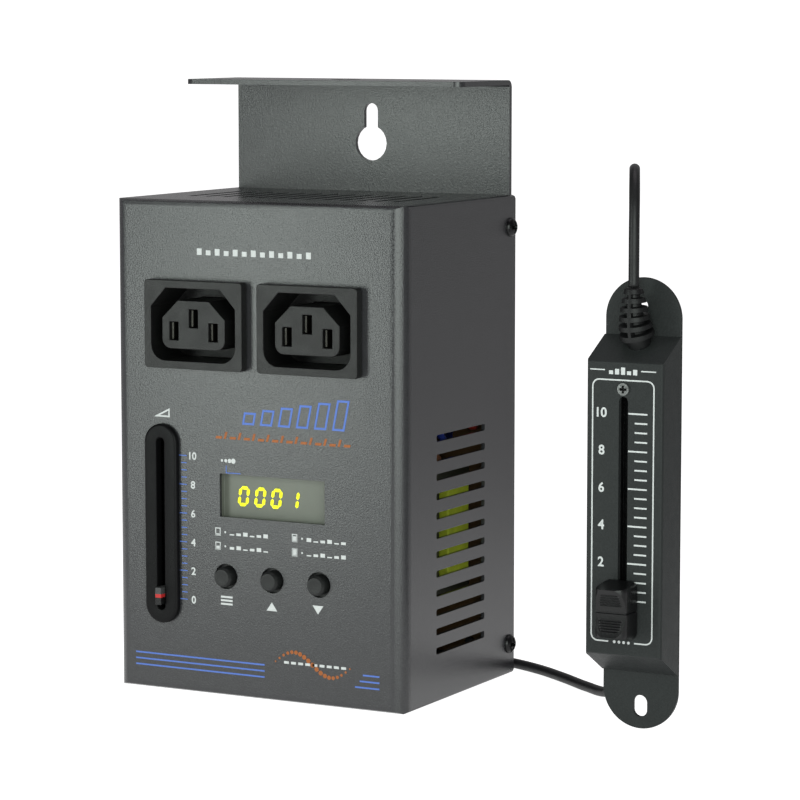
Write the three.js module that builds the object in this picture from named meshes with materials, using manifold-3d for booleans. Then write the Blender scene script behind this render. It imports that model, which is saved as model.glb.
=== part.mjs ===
import * as THREE from 'three';
import { mergeVertices } from 'three/addons/utils/BufferGeometryUtils.js';
import Module from 'manifold-3d';

// A two-channel dimmer pack and its wired remote fader, in millimetres.
// The origin is the centre of the pack's underside: X to the right, Y to the rear, Z up.

// Clearances
const seatGap = 0.25;
const runGap = 0.4;
const overrun = 3;

// Case of folded sheet, open at the rear
const caseWidth = 102;
const caseHeight = 153;
const caseDepth = 75;
const caseSheet = 1.2;
const caseSideBend = 5;
const caseEndBend = 2;
const caseSeamRound = 1.2;

// Vent slots in the right side and in the top
const ventLength = 32.7;
const ventWidth = 2.1;
const ventRound = 0.6;
const sideVentPitch = 5.96;
const sideVentCount = 12;
const sideVentLowest = 16.05;
const topVentPitch = 6;
const topVentCount = 13;

// Back plate, with the hood that is folded forward from its top
const plateSheet = 1.6;
const plateHeight = 189;
const hoodDepth = 35;
const hoodBend = 2.3;
const hoodCorner = 3;
const hoodHoleDiameter = 9.6;
const keyholeDiameter = 11.3;
const keyholeSlotWidth = 4.9;
const keyholeSlotRise = 12.8;
const keyholeDrop = 20.6;
const tabHeight = 12;
const tabDepth = 9;

// Screws that hold the case to the tabs of the back plate
const screwInset = 10;
const screwSetback = 3.6;
const screwHeadDiameter = 6;
const screwHeadHeight = 2;
const screwShankDiameter = 2.6;
const screwReach = 1;

// Two outlet sockets
const outletPitch = 40;
const outletRowX = -0.4;
const outletRowShare = 0.42;
const outletFlangeWidth = 34.8;
const outletFlangeHeight = 27.2;
const outletFlangeProud = 3.4;
const outletFlangeRound = 1;
const outletBodyMargin = 1.25;
const outletBodyDepth = 16;
const outletRecessWidth = 30;
const outletRecessHeight = 22.4;
const outletRecessDepth = 15;
const outletRecessChamferX = 5.3;
const outletRecessChamferZ = 5.8;
const outletRecessRound = 5;
const outletIslandWidth = 22.4;
const outletIslandHeight = 14.9;
const outletIslandSetback = 0.4;
const outletIslandChamferX = 5.6;
const outletIslandChamferZ = 5.4;
const outletIslandRound = 3;

// Line, neutral and earth contacts, shared by the outlets and the inlet
const pinSpacing = 7;
const pinRise = 2;
const contactSlotWidth = 3.2;
const contactSlotHeight = 5.7;
const contactThickness = 0.8;
const contactSetback = 1;
const contactTagLength = 4;

// Fader in the front panel
const faderX = -33.5;
const faderZ = 52.5;
const faderTravel = 45;
const bezelWidth = 11.8;
const bezelHeight = 62.4;
const bezelProud = 1.9;
const bezelLip = 1.2;
const bezelLipDepth = 1.2;
const faderSlotWidth = 2.85;
const faderSlotHeight = 53.9;
const leverWidth = 2.2;
const leverHeight = 5.5;
const leverProud = 1.8;
const slideBodyWidth = 9;
const slideBodyLength = 61;
const slideBodyDepth = 7;
const slideWall = 1.4;
const carriageLength = 7;

// Display window, display and status lamp
const windowX = 5.4;
const windowZ = 62.7;
const windowWidth = 37;
const windowHeight = 13.4;
const windowSetback = 3.1;
const windowRim = 1.4;
const lensThickness = 1.2;
const displayWidth = 31;
const displayHeight = 11.4;
const lampDiameter = 2.2;
const lampRise = 4.2;

// Push buttons, their plungers and the switches behind them
const buttonPitch = 16.4;
const buttonZ = 37.5;
const buttonDiameter = 6.2;
const buttonHoleDiameter = 8;
const buttonProud = 2.8;
const buttonTravel = 0.5;
const buttonCollarDiameter = 9.6;
const buttonCollarThickness = 1;
const plungerDiameter = 3;
const plungerReach = 2.4;
const switchWidth = 7.4;
const switchDepth = 5;

// Control board behind the front panel and the studs that carry it
const boardThickness = 1.6;
const controlBoardSetback = 14;
const controlBoardLeft = 8.6;
const controlBoardRight = 23;
const controlBoardBottom = 20;
const controlBoardTop = 84;
const studDiameter = 4.6;
const studPinDiameter = 2.6;
const studPinReach = 1.2;
const studInset = 4;
const studLeftX = -24;
const studRightX = 24;

// Power board in front of the back plate
const powerBoardStandoff = 11;
const powerBoardLeft = 25;
const powerBoardRight = 4.5;
const powerBoardBottom = 8;
const powerBoardTop = 96;

// Transformer beside the side vents
const coreLength = 40;
const coreDepth = 26;
const coreStack = 16;
const coreLimb = 6;
const coreZ = 50;
const coilLength = 29;
const coilDepth = 14.2;
const coilBulge = 3;
const coilSideGap = 4.6;

// Heat sink and the two triacs under it
const sinkWidth = 40;
const sinkDepth = 21;
const sinkBase = 3;
const sinkZ = 70;
const sinkFinHeight = 12;
const sinkFinThickness = 1.5;
const sinkFinCount = 5;
const triacPitch = 18;
const triacWidth = 10;
const triacTabLength = 15.4;
const triacTabThickness = 1.3;
const triacBodyLength = 9;
const triacBodyThickness = 3.1;
const triacLegLength = 4;
const triacLegWidth = 0.9;
const triacLegPitch = 2.54;

// Suppression chokes
const chokeDiameter = 22;
const chokeBore = 10;
const chokeThickness = 9;
const chokeRound = 2;
const chokeSpacing = 26;

// Column of sockets in the left side, from the bottom up
const columnY = 10;
const inletFlangeWidth = 31;
const inletFlangeHeight = 24;
const inletFlangeProud = 2;
const inletBodyMargin = 1.6;
const inletBodyDepth = 17;
const inletCavityWidth = 24.4;
const inletCavityHeight = 16.8;
const inletCavityDepth = 15.5;
const inletChamfer = 4.6;
const inletRound = 2;
const inletPinThickness = 2;
const inletPinHeight = 4;
const inletPinTail = 5;
const fuseCapDiameter = 14;
const fuseCapProud = 5;
const fuseBodyDiameter = 11.5;
const fuseBodyDepth = 21;
const fuseSlotWidth = 1.6;
const fuseSlotDepth = 1.5;
const signalFlangeWidth = 26;
const signalFlangeHeight = 31;
const signalFlangeThickness = 1.6;
const signalFlangeRound = 3;
const signalBodyDiameter = 23.4;
const signalBodyDepth = 18;
const signalBoreDiameter = 18.6;
const signalBoreDepth = 13;
const signalPinDiameter = 2.4;
const signalPinCircle = 10;
const signalContactBore = 3.2;
const jackNutWidth = 13;
const jackNutHeight = 2.4;
const jackThreadDiameter = 9;
const jackThreadProud = 3.4;
const jackBore = 6.8;
const jackBodyWidth = 15;
const jackBodyDepth = 22;

// Wires between the outlets and the power board
const wireDiameter = 2.4;

// Remote fader, standing to the right of the case
const remoteGap = 57.55;
const remoteSetback = 4.44;
const remoteWidth = 24.2;
const remoteDepth = 12.9;
const remoteWall = 1.2;
const remoteFaceBottom = 24.16;
const remoteFaceTop = 109.83;
const remoteBottomLean = 7.36;
const remoteTopLean = 6.9;
const remoteRound = 1;
const basePlateWidth = 23.9;
const basePlateHeight = 133.55;
const basePlateSheet = 1.5;
const basePlateHoleWidth = 4.4;
const basePlateHoleHeight = 6.4;
const basePlateHoleRise = 6.8;
const basePlateHeadHoleWidth = 3.6;
const basePlateHeadHoleX = -0.4;
const basePlateHeadHoleDrop = 8.35;
const remoteTravel = 60;
const remoteSlotX = -0.25;
const remoteSlotZ = 67.9;
const remoteSlotWidth = 2.9;
const remoteLeverWidth = 2;
const remoteLeverHeight = 3.4;
const remoteSlideLength = 76;
const remoteSlideDepth = 7;
const remoteCarriage = 4.6;
const remoteScrewSpacing = 68.4;
const remoteScrewHead = 3.6;
const remoteScrewProud = 0.6;
const remoteScrewShank = 2.2;
const knobLength = 17.1;
const knobFaceLength = 14;
const knobWidth = 10.4;
const knobFaceWidth = 9.8;
const knobShoulder = 1.9;
const knobProud = 10;
const knobHollow = 2.1;
const knobGrooveWidth = 0.5;
const knobGrooveDepth = 0.4;
const knobCap = 1.75;

// Strain relief, cord, coil and plug of the remote
const cordDiameter = 3.2;
const reliefY = 6;
const reliefTop = 131;
const reliefBaseX = 0.8;
const reliefBaseY = 8.75;
const reliefBendHeight = 119.7;
const reliefBaseDiameter = 10.4;
const reliefTipDiameter = 4.9;
const reliefNeckDiameter = 7;
const reliefNeckHeight = 2.6;
const reliefRibCount = 6;
const reliefRibPitch = 2.53;
const reliefRibHeight = 1.3;
const reliefRibDepth = 0.8;
const reliefShankDiameter = 5.5;
const reliefShankY = 8.6;
const reliefCollarDiameter = 8;
const reliefCollarY = 8.3;
const reliefCollarTop = 109;
const reliefCollarThickness = 2.4;
const coilX = 0;
const coilSetback = 34.5;
const coilMidDiameter = 35.2;
const coilLayerCount = 4;
const coilTurnCount = 4;
const coilPitch = 3.7;
const plugDiameter = 10.6;
const plugLength = 34;
const plugBootDiameter = 5.4;
const plugBootLength = 8;
const plugPinDiameter = 6.35;
const plugPinLength = 30.5;
const plugPinSocket = 3;
const plugPinNeck = 4.4;
const plugPinTip = 5.4;
const tailLength = 32;

// Sides of round shapes, per full turn
const roundSideCount = 20;
const smallSideCount = 8;
const chokeSideCount = 14;
const reliefSideCount = 16;
const cordSideCount = 8;
const coilStepCount = 24;
const coilSideCount = 6;

// Faces that the pieces line up with
const sideX = caseWidth / 2;
const frontY = -caseDepth / 2;
const rearY = caseDepth / 2;
const panelRear = frontY + caseSheet;
const plateFront = rearY - plateSheet;
const plateHalf = sideX - caseSheet - seatGap;
const controlBoardFront = frontY + controlBoardSetback;
const controlBoardRear = controlBoardFront + boardThickness;
const powerBoardRear = plateFront - powerBoardStandoff;
const powerBoardFront = powerBoardRear - boardThickness;
const powerSeat = powerBoardFront - seatGap;

// The outlets stand in the free height between the fader's bezel and the top of the case
const bezelTop = faderZ + bezelHeight / 2;
const outletZ = bezelTop + outletFlangeHeight / 2
  + outletRowShare * (caseHeight - bezelTop - outletFlangeHeight);

const part = new THREE.Group();
const remote = new THREE.Group();
const remoteX = sideX + remoteGap + remoteWidth / 2;
const remoteY = frontY + remoteSetback;
remote.position.set(remoteX, remoteY, 0);
part.add(remote);

const wasm = await Module();
wasm.setup();

// A closed geometry as a solid that can be cut and joined
function toSolid(geometry) {
  const bare = geometry.index ? geometry.toNonIndexed() : geometry.clone();
  bare.deleteAttribute('normal');
  bare.deleteAttribute('uv');
  const merged = mergeVertices(bare);
  return new wasm.Manifold(new wasm.Mesh({
    numProp: 3,
    vertProperties: new Float32Array(merged.attributes.position.array),
    triVerts: new Uint32Array(merged.index.array),
  }));
}

// Adds a solid to a group as a named piece with its own finish
function addPiece(name, solid, color, roughness, metalness, parent = part) {
  const mesh = solid.getMesh();
  const geometry = new THREE.BufferGeometry();
  geometry.setAttribute('position', new THREE.BufferAttribute(mesh.vertProperties, 3));
  geometry.setIndex(new THREE.BufferAttribute(mesh.triVerts, 1));
  geometry.computeVertexNormals();
  const material = new THREE.MeshStandardMaterial({ color, roughness, metalness });
  const piece = new THREE.Mesh(geometry, material);
  piece.name = name;
  parent.add(piece);
}

// An outline from corners [a, b, radius], each radius being drawn as an arc
function outline(corners, sides = roundSideCount) {
  const points = [];
  corners.forEach(([a, b, radius = 0], i) => {
    const corner = new THREE.Vector2(a, b);
    if (radius === 0) {
      points.push(corner);
      return;
    }
    const before = corners[(i + corners.length - 1) % corners.length];
    const after = corners[(i + 1) % corners.length];
    const toBefore = new THREE.Vector2(before[0], before[1]).sub(corner).normalize();
    const toAfter = new THREE.Vector2(after[0], after[1]).sub(corner).normalize();
    const half = Math.acos(THREE.MathUtils.clamp(toBefore.dot(toAfter), -1, 1)) / 2;
    const middle = toBefore.clone().add(toAfter).normalize();
    const centre = corner.clone().addScaledVector(middle, radius / Math.sin(half));
    const start = corner.clone().addScaledVector(toBefore, radius / Math.tan(half)).sub(centre);
    const end = corner.clone().addScaledVector(toAfter, radius / Math.tan(half)).sub(centre);
    const turn = Math.atan2(start.cross(end), start.dot(end));
    const steps = Math.max(2, Math.round(sides * Math.abs(turn) / (2 * Math.PI)));
    for (let step = 0; step <= steps; step += 1) {
      const arm = start.clone().rotateAround(new THREE.Vector2(), turn * step / steps);
      points.push(centre.clone().add(arm));
    }
  });
  return points;
}

// An outline in (x, z) drawn out along Y, in (y, z) along X, or in (x, y) along Z
const drawAxes = {
  x: [new THREE.Vector3(0, 1, 0), new THREE.Vector3(0, 0, 1), new THREE.Vector3(1, 0, 0)],
  y: [new THREE.Vector3(1, 0, 0), new THREE.Vector3(0, 0, 1), new THREE.Vector3(0, -1, 0)],
  z: [new THREE.Vector3(1, 0, 0), new THREE.Vector3(0, 1, 0), new THREE.Vector3(0, 0, 1)],
};
function draw(axis, points, from, to) {
  const shape = new THREE.Shape(points);
  const geometry = new THREE.ExtrudeGeometry(shape, { depth: to - from, bevelEnabled: false });
  geometry.applyMatrix4(new THREE.Matrix4().makeBasis(...drawAxes[axis]));
  const start = axis === 'y' ? to : from;
  geometry.translate(axis === 'x' ? start : 0, axis === 'y' ? start : 0, axis === 'z' ? start : 0);
  return toSolid(geometry);
}

// A block between two planes on each axis
function block(x0, x1, y0, y1, z0, z1) {
  const geometry = new THREE.BoxGeometry(x1 - x0, y1 - y0, z1 - z0);
  geometry.translate((x0 + x1) / 2, (y0 + y1) / 2, (z0 + z1) / 2);
  return toSolid(geometry);
}

// A round rod along an axis; a and b are its centre on the other two axes in turn
function rod(axis, from, to, diameter, a, b, sides = roundSideCount) {
  const geometry = new THREE.CylinderGeometry(diameter / 2, diameter / 2, to - from, sides);
  const middle = (from + to) / 2;
  if (axis === 'x') geometry.rotateZ(-Math.PI / 2).translate(middle, a, b);
  if (axis === 'y') geometry.translate(a, middle, b);
  if (axis === 'z') geometry.rotateX(Math.PI / 2).translate(a, b, middle);
  return toSolid(geometry);
}

// A profile [radius, height] turned round the Z axis
function turned(profile, sides = roundSideCount) {
  const points = profile.map(([radius, height]) => new THREE.Vector2(radius, height));
  return toSolid(new THREE.LatheGeometry(points, sides).rotateX(Math.PI / 2));
}

// Corners of a rectangle about a centre, all with one radius
function rectangle(width, height, a, b, radius = 0) {
  return [
    [a - width / 2, b - height / 2, radius], [a + width / 2, b - height / 2, radius],
    [a + width / 2, b + height / 2, radius], [a - width / 2, b + height / 2, radius],
  ];
}

// A rectangle with round ends; its radius stays a hair short of half its width
const roundEndShare = 0.499;
function oblong(width, height, a, b, sides = roundSideCount) {
  const radius = roundEndShare * Math.min(width, height);
  return outline(rectangle(width, height, a, b, radius), sides);
}

// The connector outline: two chamfered corners above, two round corners below
function keyedOutline(width, height, chamferA, chamferB, radius, a, b) {
  return outline([
    [a - width / 2, b - height / 2, radius], [a + width / 2, b - height / 2, radius],
    [a + width / 2, b + height / 2 - chamferB], [a + width / 2 - chamferA, b + height / 2],
    [a - width / 2 + chamferA, b + height / 2], [a - width / 2, b + height / 2 - chamferB],
  ], roundSideCount);
}

// Whole numbers from zero up to a count
const range = (count) => [...Array(count).keys()];

// The case's body, drawn in by an inset from its front, sides and ends
function caseBody(inset) {
  const x = sideX - inset;
  const y = frontY + inset;
  const rear = inset > 0 ? rearY + overrun : rearY;
  const z1 = caseHeight - inset;
  const radius = (bend) => Math.max(bend - inset, 0);
  const plan = outline([
    [-x, rear], [-x, y, radius(caseSideBend)], [x, y, radius(caseSideBend)], [x, rear],
  ]);
  const side = outline([
    [y, inset, radius(caseEndBend)], [rear, inset], [rear, z1], [y, z1, radius(caseEndBend)],
  ], smallSideCount);
  const front = outline(rectangle(2 * x, z1 - inset, 0, (inset + z1) / 2, radius(caseSeamRound)),
    smallSideCount);
  return draw('z', plan, inset, z1)
    .intersect(draw('x', side, -x, x))
    .intersect(draw('y', front, y, rear));
}

// Places that both the case and the pieces in it need
const outletCentres = [-1, 1].map((side) => outletRowX + side * outletPitch / 2);
const buttonCentres = [-1, 0, 1].map((place) => windowX + place * buttonPitch);
const screwHeights = [screwInset, caseHeight - screwInset];
const screwY = rearY - screwSetback;
const studPlaces = [studLeftX, studRightX].flatMap((x) => (
  [controlBoardBottom + studInset, controlBoardTop - studInset].map((z) => [x, z])
));
const outletBodyWidth = outletFlangeWidth - 2 * outletBodyMargin;
const outletBodyHeight = outletFlangeHeight - 2 * outletBodyMargin;
const bezelInnerWidth = bezelWidth - 2 * bezelLip;
const bezelInnerHeight = bezelHeight - 2 * bezelLip;
const inletBodyWidth = inletFlangeWidth - 2 * inletBodyMargin;
const inletBodyHeight = inletFlangeHeight - 2 * inletBodyMargin;

// Heights of the sockets in the left side, spread evenly over the case's height
const columnSizes = [
  inletFlangeHeight, fuseCapDiameter, signalFlangeHeight, signalFlangeHeight, jackNutWidth,
];
const columnTotal = columnSizes.reduce((sum, size) => sum + size, 0);
const columnSpace = (caseHeight - columnTotal) / (columnSizes.length + 1);
const columnHeights = columnSizes.map((size, i) => (
  (i + 1) * columnSpace + size / 2
  + columnSizes.slice(0, i).reduce((sum, below) => sum + below, 0)
));
const [inletZ, fuseZ, signalOutZ, signalInZ, jackZ] = columnHeights;

// Front cover: one folded sheet with studs for the control board
let cover = caseBody(0).subtract(caseBody(caseSheet));
cover = cover.subtract(block(-sideX + caseSheet, sideX - caseSheet, plateFront - seatGap,
  rearY + overrun, caseHeight - caseSheet - overrun, caseHeight + overrun));
for (const i of range(sideVentCount)) {
  const z = sideVentLowest + i * sideVentPitch;
  const slot = outline(rectangle(ventLength, ventWidth, 0, z, ventRound), smallSideCount);
  cover = cover.subtract(draw('x', slot, sideX - caseSheet - overrun, sideX + overrun));
}
for (const i of range(topVentCount)) {
  const x = (i - (topVentCount - 1) / 2) * topVentPitch;
  const slot = outline(rectangle(ventWidth, ventLength, x, 0, ventRound), smallSideCount);
  cover = cover.subtract(draw('z', slot, caseHeight - caseSheet - overrun,
    caseHeight + overrun));
}
const throughFront = (points) => draw('y', points, frontY - overrun, panelRear + overrun);
const throughLeft = (points) => draw('x', points, -sideX - overrun, -sideX + caseSheet + overrun);
for (const x of outletCentres) {
  const opening = rectangle(outletBodyWidth + 2 * seatGap, outletBodyHeight + 2 * seatGap,
    x, outletZ);
  cover = cover.subtract(throughFront(outline(opening)));
}
cover = cover.subtract(throughFront(oblong(bezelInnerWidth + 2 * seatGap,
  bezelInnerHeight + 2 * seatGap, faderX, faderZ)));
cover = cover.subtract(throughFront(outline(rectangle(windowWidth, windowHeight,
  windowX, windowZ))));
for (const x of buttonCentres) {
  cover = cover.subtract(rod('y', frontY - overrun, panelRear + overrun, buttonHoleDiameter,
    x, buttonZ));
}
cover = cover.subtract(throughLeft(outline(rectangle(inletBodyWidth + 2 * seatGap,
  inletBodyHeight + 2 * seatGap, columnY, inletZ))));
for (const [diameter, z] of [[fuseBodyDiameter, fuseZ], [signalBodyDiameter, signalOutZ],
  [signalBodyDiameter, signalInZ], [jackThreadDiameter, jackZ]]) {
  cover = cover.subtract(rod('x', -sideX - overrun, -sideX + caseSheet + overrun,
    diameter + 2 * seatGap, columnY, z));
}
for (const z of screwHeights) {
  cover = cover.subtract(rod('x', -sideX - overrun, sideX + overrun,
    screwShankDiameter + 2 * seatGap, screwY, z, smallSideCount));
}
for (const [x, z] of studPlaces) {
  cover = cover
    .add(rod('y', panelRear - caseSheet / 2, controlBoardFront - seatGap, studDiameter, x, z,
      smallSideCount))
    .add(rod('y', panelRear, controlBoardRear + studPinReach, studPinDiameter, x, z, smallSideCount));
}
addPiece('front_cover', cover, 0x5f6562, 0.6, 0.2);

// Back plate: hood, keyhole, four screw tabs and four standoffs for the power board
const hoodFront = rearY - hoodDepth;
const plateProfile = outline([
  [plateFront, caseSheet + seatGap], [rearY, caseSheet + seatGap],
  [rearY, plateHeight, hoodBend], [hoodFront, plateHeight],
  [hoodFront, plateHeight - plateSheet],
  [plateFront, plateHeight - plateSheet, Math.max(hoodBend - plateSheet, seatGap)],
]);
const hoodPlan = outline([
  [-plateHalf, rearY], [-plateHalf, hoodFront, hoodCorner],
  [plateHalf, hoodFront, hoodCorner], [plateHalf, rearY],
]);
const hoodHoleY = (hoodFront + plateFront) / 2;
const keyholeZ = plateHeight - keyholeDrop;
let plate = draw('x', plateProfile, -plateHalf, plateHalf)
  .intersect(draw('z', hoodPlan, 0, plateHeight + overrun));
plate = plate
  .subtract(rod('z', plateHeight - plateSheet - overrun, plateHeight + overrun, hoodHoleDiameter,
    0, hoodHoleY))
  .subtract(rod('y', plateFront - overrun, rearY + overrun, keyholeDiameter, 0, keyholeZ))
  .subtract(draw('y', oblong(keyholeSlotWidth, 2 * keyholeSlotRise, 0, keyholeZ),
    plateFront - overrun, rearY + overrun)
    .intersect(block(-plateHalf, plateHalf, plateFront - overrun, rearY + overrun,
      keyholeZ, plateHeight)));
for (const side of [-1, 1]) {
  for (const z of screwHeights) {
    const outer = side * plateHalf;
    const inner = side * (plateHalf - plateSheet);
    plate = plate.add(block(Math.min(outer, inner), Math.max(outer, inner),
      plateFront - tabDepth, plateFront + plateSheet / 2, z - tabHeight / 2, z + tabHeight / 2));
  }
}
for (const z of screwHeights) {
  plate = plate.subtract(rod('x', -sideX, sideX, screwShankDiameter + 2 * seatGap, screwY, z,
    smallSideCount).intersect(block(-sideX, sideX, plateFront - tabDepth, plateFront,
    0, caseHeight)));
}
const powerBoardX0 = -sideX + powerBoardLeft;
const powerBoardX1 = sideX - powerBoardRight;
const standoffPlaces = [powerBoardX0 + studInset, powerBoardX1 - studInset].flatMap((x) => (
  [powerBoardBottom + studInset, powerBoardTop - studInset].map((z) => [x, z])
));
for (const [x, z] of standoffPlaces) {
  plate = plate
    .add(rod('y', powerBoardRear + seatGap, plateFront + plateSheet / 2, studDiameter, x, z,
      smallSideCount))
    .add(rod('y', powerBoardFront - studPinReach, plateFront, studPinDiameter, x, z, smallSideCount));
}
addPiece('back_plate', plate, 0x6b716d, 0.6, 0.2);

// Four case screws, two to a side
const screwLength = seatGap + caseSheet + seatGap + plateSheet + screwReach;
for (const [side, sideName] of [[-1, 'left'], [1, 'right']]) {
  screwHeights.forEach((z, i) => {
    const headIn = side * (sideX + seatGap);
    const headOut = side * (sideX + screwHeadHeight);
    const tip = headIn - side * screwLength;
    const head = rod('x', Math.min(headIn, headOut), Math.max(headIn, headOut),
      screwHeadDiameter, screwY, z, roundSideCount);
    const shank = rod('x', Math.min(headOut - side * seatGap, tip),
      Math.max(headOut - side * seatGap, tip), screwShankDiameter, screwY, z, smallSideCount);
    addPiece(`case_screw_${sideName}_${i + 1}`, head.add(shank), 0x2a2b2a, 0.4, 0.7);
  });
}

// Two outlets, each a keyed recess round an island with three contacts
const flangeFront = frontY - outletFlangeProud;
const islandFront = flangeFront + outletIslandSetback;
const outletRear = frontY + outletBodyDepth;
const contactPlaces = [
  ['neutral', -pinSpacing, -pinRise], ['earth', 0, pinRise], ['live', pinSpacing, -pinRise],
];
['left', 'right'].forEach((sideName, i) => {
  const x = outletCentres[i];
  const recess = draw('y', keyedOutline(outletRecessWidth, outletRecessHeight,
    outletRecessChamferX, outletRecessChamferZ, outletRecessRound, x, outletZ),
  flangeFront - overrun, flangeFront + outletRecessDepth);
  const island = draw('y', keyedOutline(outletIslandWidth, outletIslandHeight,
    outletIslandChamferX, outletIslandChamferZ, outletIslandRound, x, outletZ),
  islandFront, flangeFront + outletRecessDepth + seatGap);
  let housing = draw('y', outline(rectangle(outletFlangeWidth, outletFlangeHeight, x, outletZ,
    outletFlangeRound), smallSideCount), flangeFront, frontY - seatGap)
    .add(draw('y', outline(rectangle(outletBodyWidth, outletBodyHeight, x, outletZ)),
      frontY - outletFlangeProud / 2, outletRear))
    .subtract(recess)
    .add(island);
  for (const [pin, dx, dz] of contactPlaces) {
    const slot = outline(rectangle(contactSlotWidth, contactSlotHeight, x + dx, outletZ + dz));
    housing = housing.subtract(draw('y', slot, flangeFront - overrun, outletRear + overrun));
    const slotLeft = x + dx - contactSlotWidth / 2 + seatGap;
    const halfHeight = contactSlotHeight / 2 - seatGap;
    addPiece(`outlet_${sideName}_${pin}_contact`, block(slotLeft, slotLeft + contactThickness,
      islandFront + contactSetback, outletRear + contactTagLength,
      outletZ + dz - halfHeight, outletZ + dz + halfHeight), 0xb9b7ae, 0.35, 0.9);
  }
  addPiece(`outlet_${sideName}`, housing, 0x2b2c2c, 0.5, 0);
});

// Fader bezel: a raised plate with a lip that passes through the panel
const bezel = draw('y', oblong(bezelWidth, bezelHeight, faderX, faderZ),
  frontY - bezelProud, frontY - seatGap)
  .add(draw('y', oblong(bezelInnerWidth, bezelInnerHeight, faderX, faderZ),
    frontY - bezelProud / 2, panelRear + bezelLipDepth))
  .subtract(draw('y', oblong(faderSlotWidth, faderSlotHeight, faderX, faderZ, smallSideCount),
    frontY - bezelProud - overrun, panelRear + bezelLipDepth + overrun));
addPiece('fader_bezel', bezel, 0x2c2c2d, 0.35, 0);

// A slide body with a channel for its carriage, and the lever that runs in it
function slideBody(x, z, rear, depth, width, length, travel, stemWidth, stemHeight, carriage) {
  const front = rear - depth;
  const channelWidth = width - 2 * slideWall;
  const channelLength = travel + carriage + 2 * runGap;
  return block(x - width / 2, x + width / 2, front, rear, z - length / 2, z + length / 2)
    .subtract(block(x - channelWidth / 2, x + channelWidth / 2, front + slideWall,
      rear - slideWall, z - channelLength / 2, z + channelLength / 2))
    .subtract(block(x - stemWidth / 2 - runGap, x + stemWidth / 2 + runGap, front - overrun,
      front + slideWall + seatGap, z - (travel + stemHeight) / 2 - runGap,
      z + (travel + stemHeight) / 2 + runGap));
}
function slideLever(x, z, rear, depth, width, travel, stemWidth, stemHeight, carriage, tip) {
  const front = rear - depth;
  const restZ = z - travel / 2;
  const carriageHalf = width / 2 - slideWall - runGap;
  return block(x - carriageHalf, x + carriageHalf, front + slideWall + runGap,
    rear - slideWall - runGap, restZ - carriage / 2, restZ + carriage / 2)
    .add(block(x - stemWidth / 2, x + stemWidth / 2, tip, front + slideWall + 2 * runGap,
      restZ - stemHeight / 2, restZ + stemHeight / 2));
}
const faderRear = controlBoardFront - seatGap;
addPiece('fader_body', slideBody(faderX, faderZ, faderRear, slideBodyDepth, slideBodyWidth,
  slideBodyLength, faderTravel, leverWidth, leverHeight, carriageLength), 0x9a9c9b, 0.4, 0.8);
addPiece('fader_lever', slideLever(faderX, faderZ, faderRear, slideBodyDepth, slideBodyWidth,
  faderTravel, leverWidth, leverHeight, carriageLength, frontY - bezelProud - leverProud),
0x8a8a8a, 0.5, 0);

// Display window: a tinted lens with a rim up to the panel's rear
const lensFront = frontY + windowSetback;
const lensRear = lensFront + lensThickness;
const rimWidth = windowWidth + 2 * seatGap + 2 * windowRim;
const rimHeight = windowHeight + 2 * seatGap + 2 * windowRim;
const displayWindow = draw('y', outline(rectangle(rimWidth, rimHeight, windowX, windowZ)),
  panelRear + seatGap, lensRear)
  .subtract(draw('y', outline(rectangle(windowWidth + 2 * seatGap, windowHeight + 2 * seatGap,
    windowX, windowZ)), panelRear - overrun, lensFront));
addPiece('display_window', displayWindow, 0x7d7f78, 0.25, 0);

// Four-digit display, and the status lamp at its upper left
const boardSeat = controlBoardFront - seatGap;
addPiece('display_module', block(windowX - displayWidth / 2, windowX + displayWidth / 2,
  lensRear + seatGap, boardSeat, windowZ - displayHeight / 2, windowZ + displayHeight / 2),
0x3a3a34, 0.5, 0);
const lampX = windowX - displayWidth / 2 - seatGap - lampDiameter / 2;
addPiece('status_lamp', rod('y', lensRear + seatGap, boardSeat, lampDiameter, lampX,
  windowZ + lampRise, smallSideCount), 0x6f8fd8, 0.3, 0);

// Three buttons with collars behind the panel, each on a switch
const switchFront = boardSeat - switchDepth;
buttonCentres.forEach((x, i) => {
  const collarFront = panelRear + buttonTravel;
  const cap = rod('y', frontY - buttonProud, collarFront + buttonCollarThickness / 2,
    buttonDiameter, x, buttonZ)
    .add(rod('y', collarFront, collarFront + buttonCollarThickness, buttonCollarDiameter,
      x, buttonZ))
    .add(rod('y', collarFront + buttonCollarThickness / 2, switchFront + plungerReach,
      plungerDiameter, x, buttonZ, smallSideCount));
  const wall = switchWidth / 2;
  const body = block(x - wall, x + wall, switchFront, boardSeat, buttonZ - wall, buttonZ + wall)
    .subtract(rod('y', switchFront - overrun, switchFront + plungerReach + buttonTravel
      + seatGap, plungerDiameter + 2 * seatGap, x, buttonZ, smallSideCount));
  addPiece(`button_${i + 1}`, cap, 0x3d3e3d, 0.45, 0);
  addPiece(`button_switch_${i + 1}`, body, 0x23232a, 0.5, 0);
});

// A board with a hole for each pin that carries it
function board(x0, x1, front, rear, z0, z1, places) {
  return places.reduce((solid, [x, z]) => (
    solid.subtract(rod('y', front - overrun, rear + overrun, studPinDiameter + 2 * seatGap,
      x, z, smallSideCount))
  ), block(x0, x1, front, rear, z0, z1));
}
addPiece('control_board', board(-sideX + controlBoardLeft, sideX - controlBoardRight,
  controlBoardFront, controlBoardRear, controlBoardBottom, controlBoardTop, studPlaces),
0x2f5a36, 0.5, 0.1);
addPiece('power_board', board(powerBoardX0, powerBoardX1, powerBoardFront, powerBoardRear,
  powerBoardBottom, powerBoardTop, standoffPlaces), 0x7a6a35, 0.55, 0.1);

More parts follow.
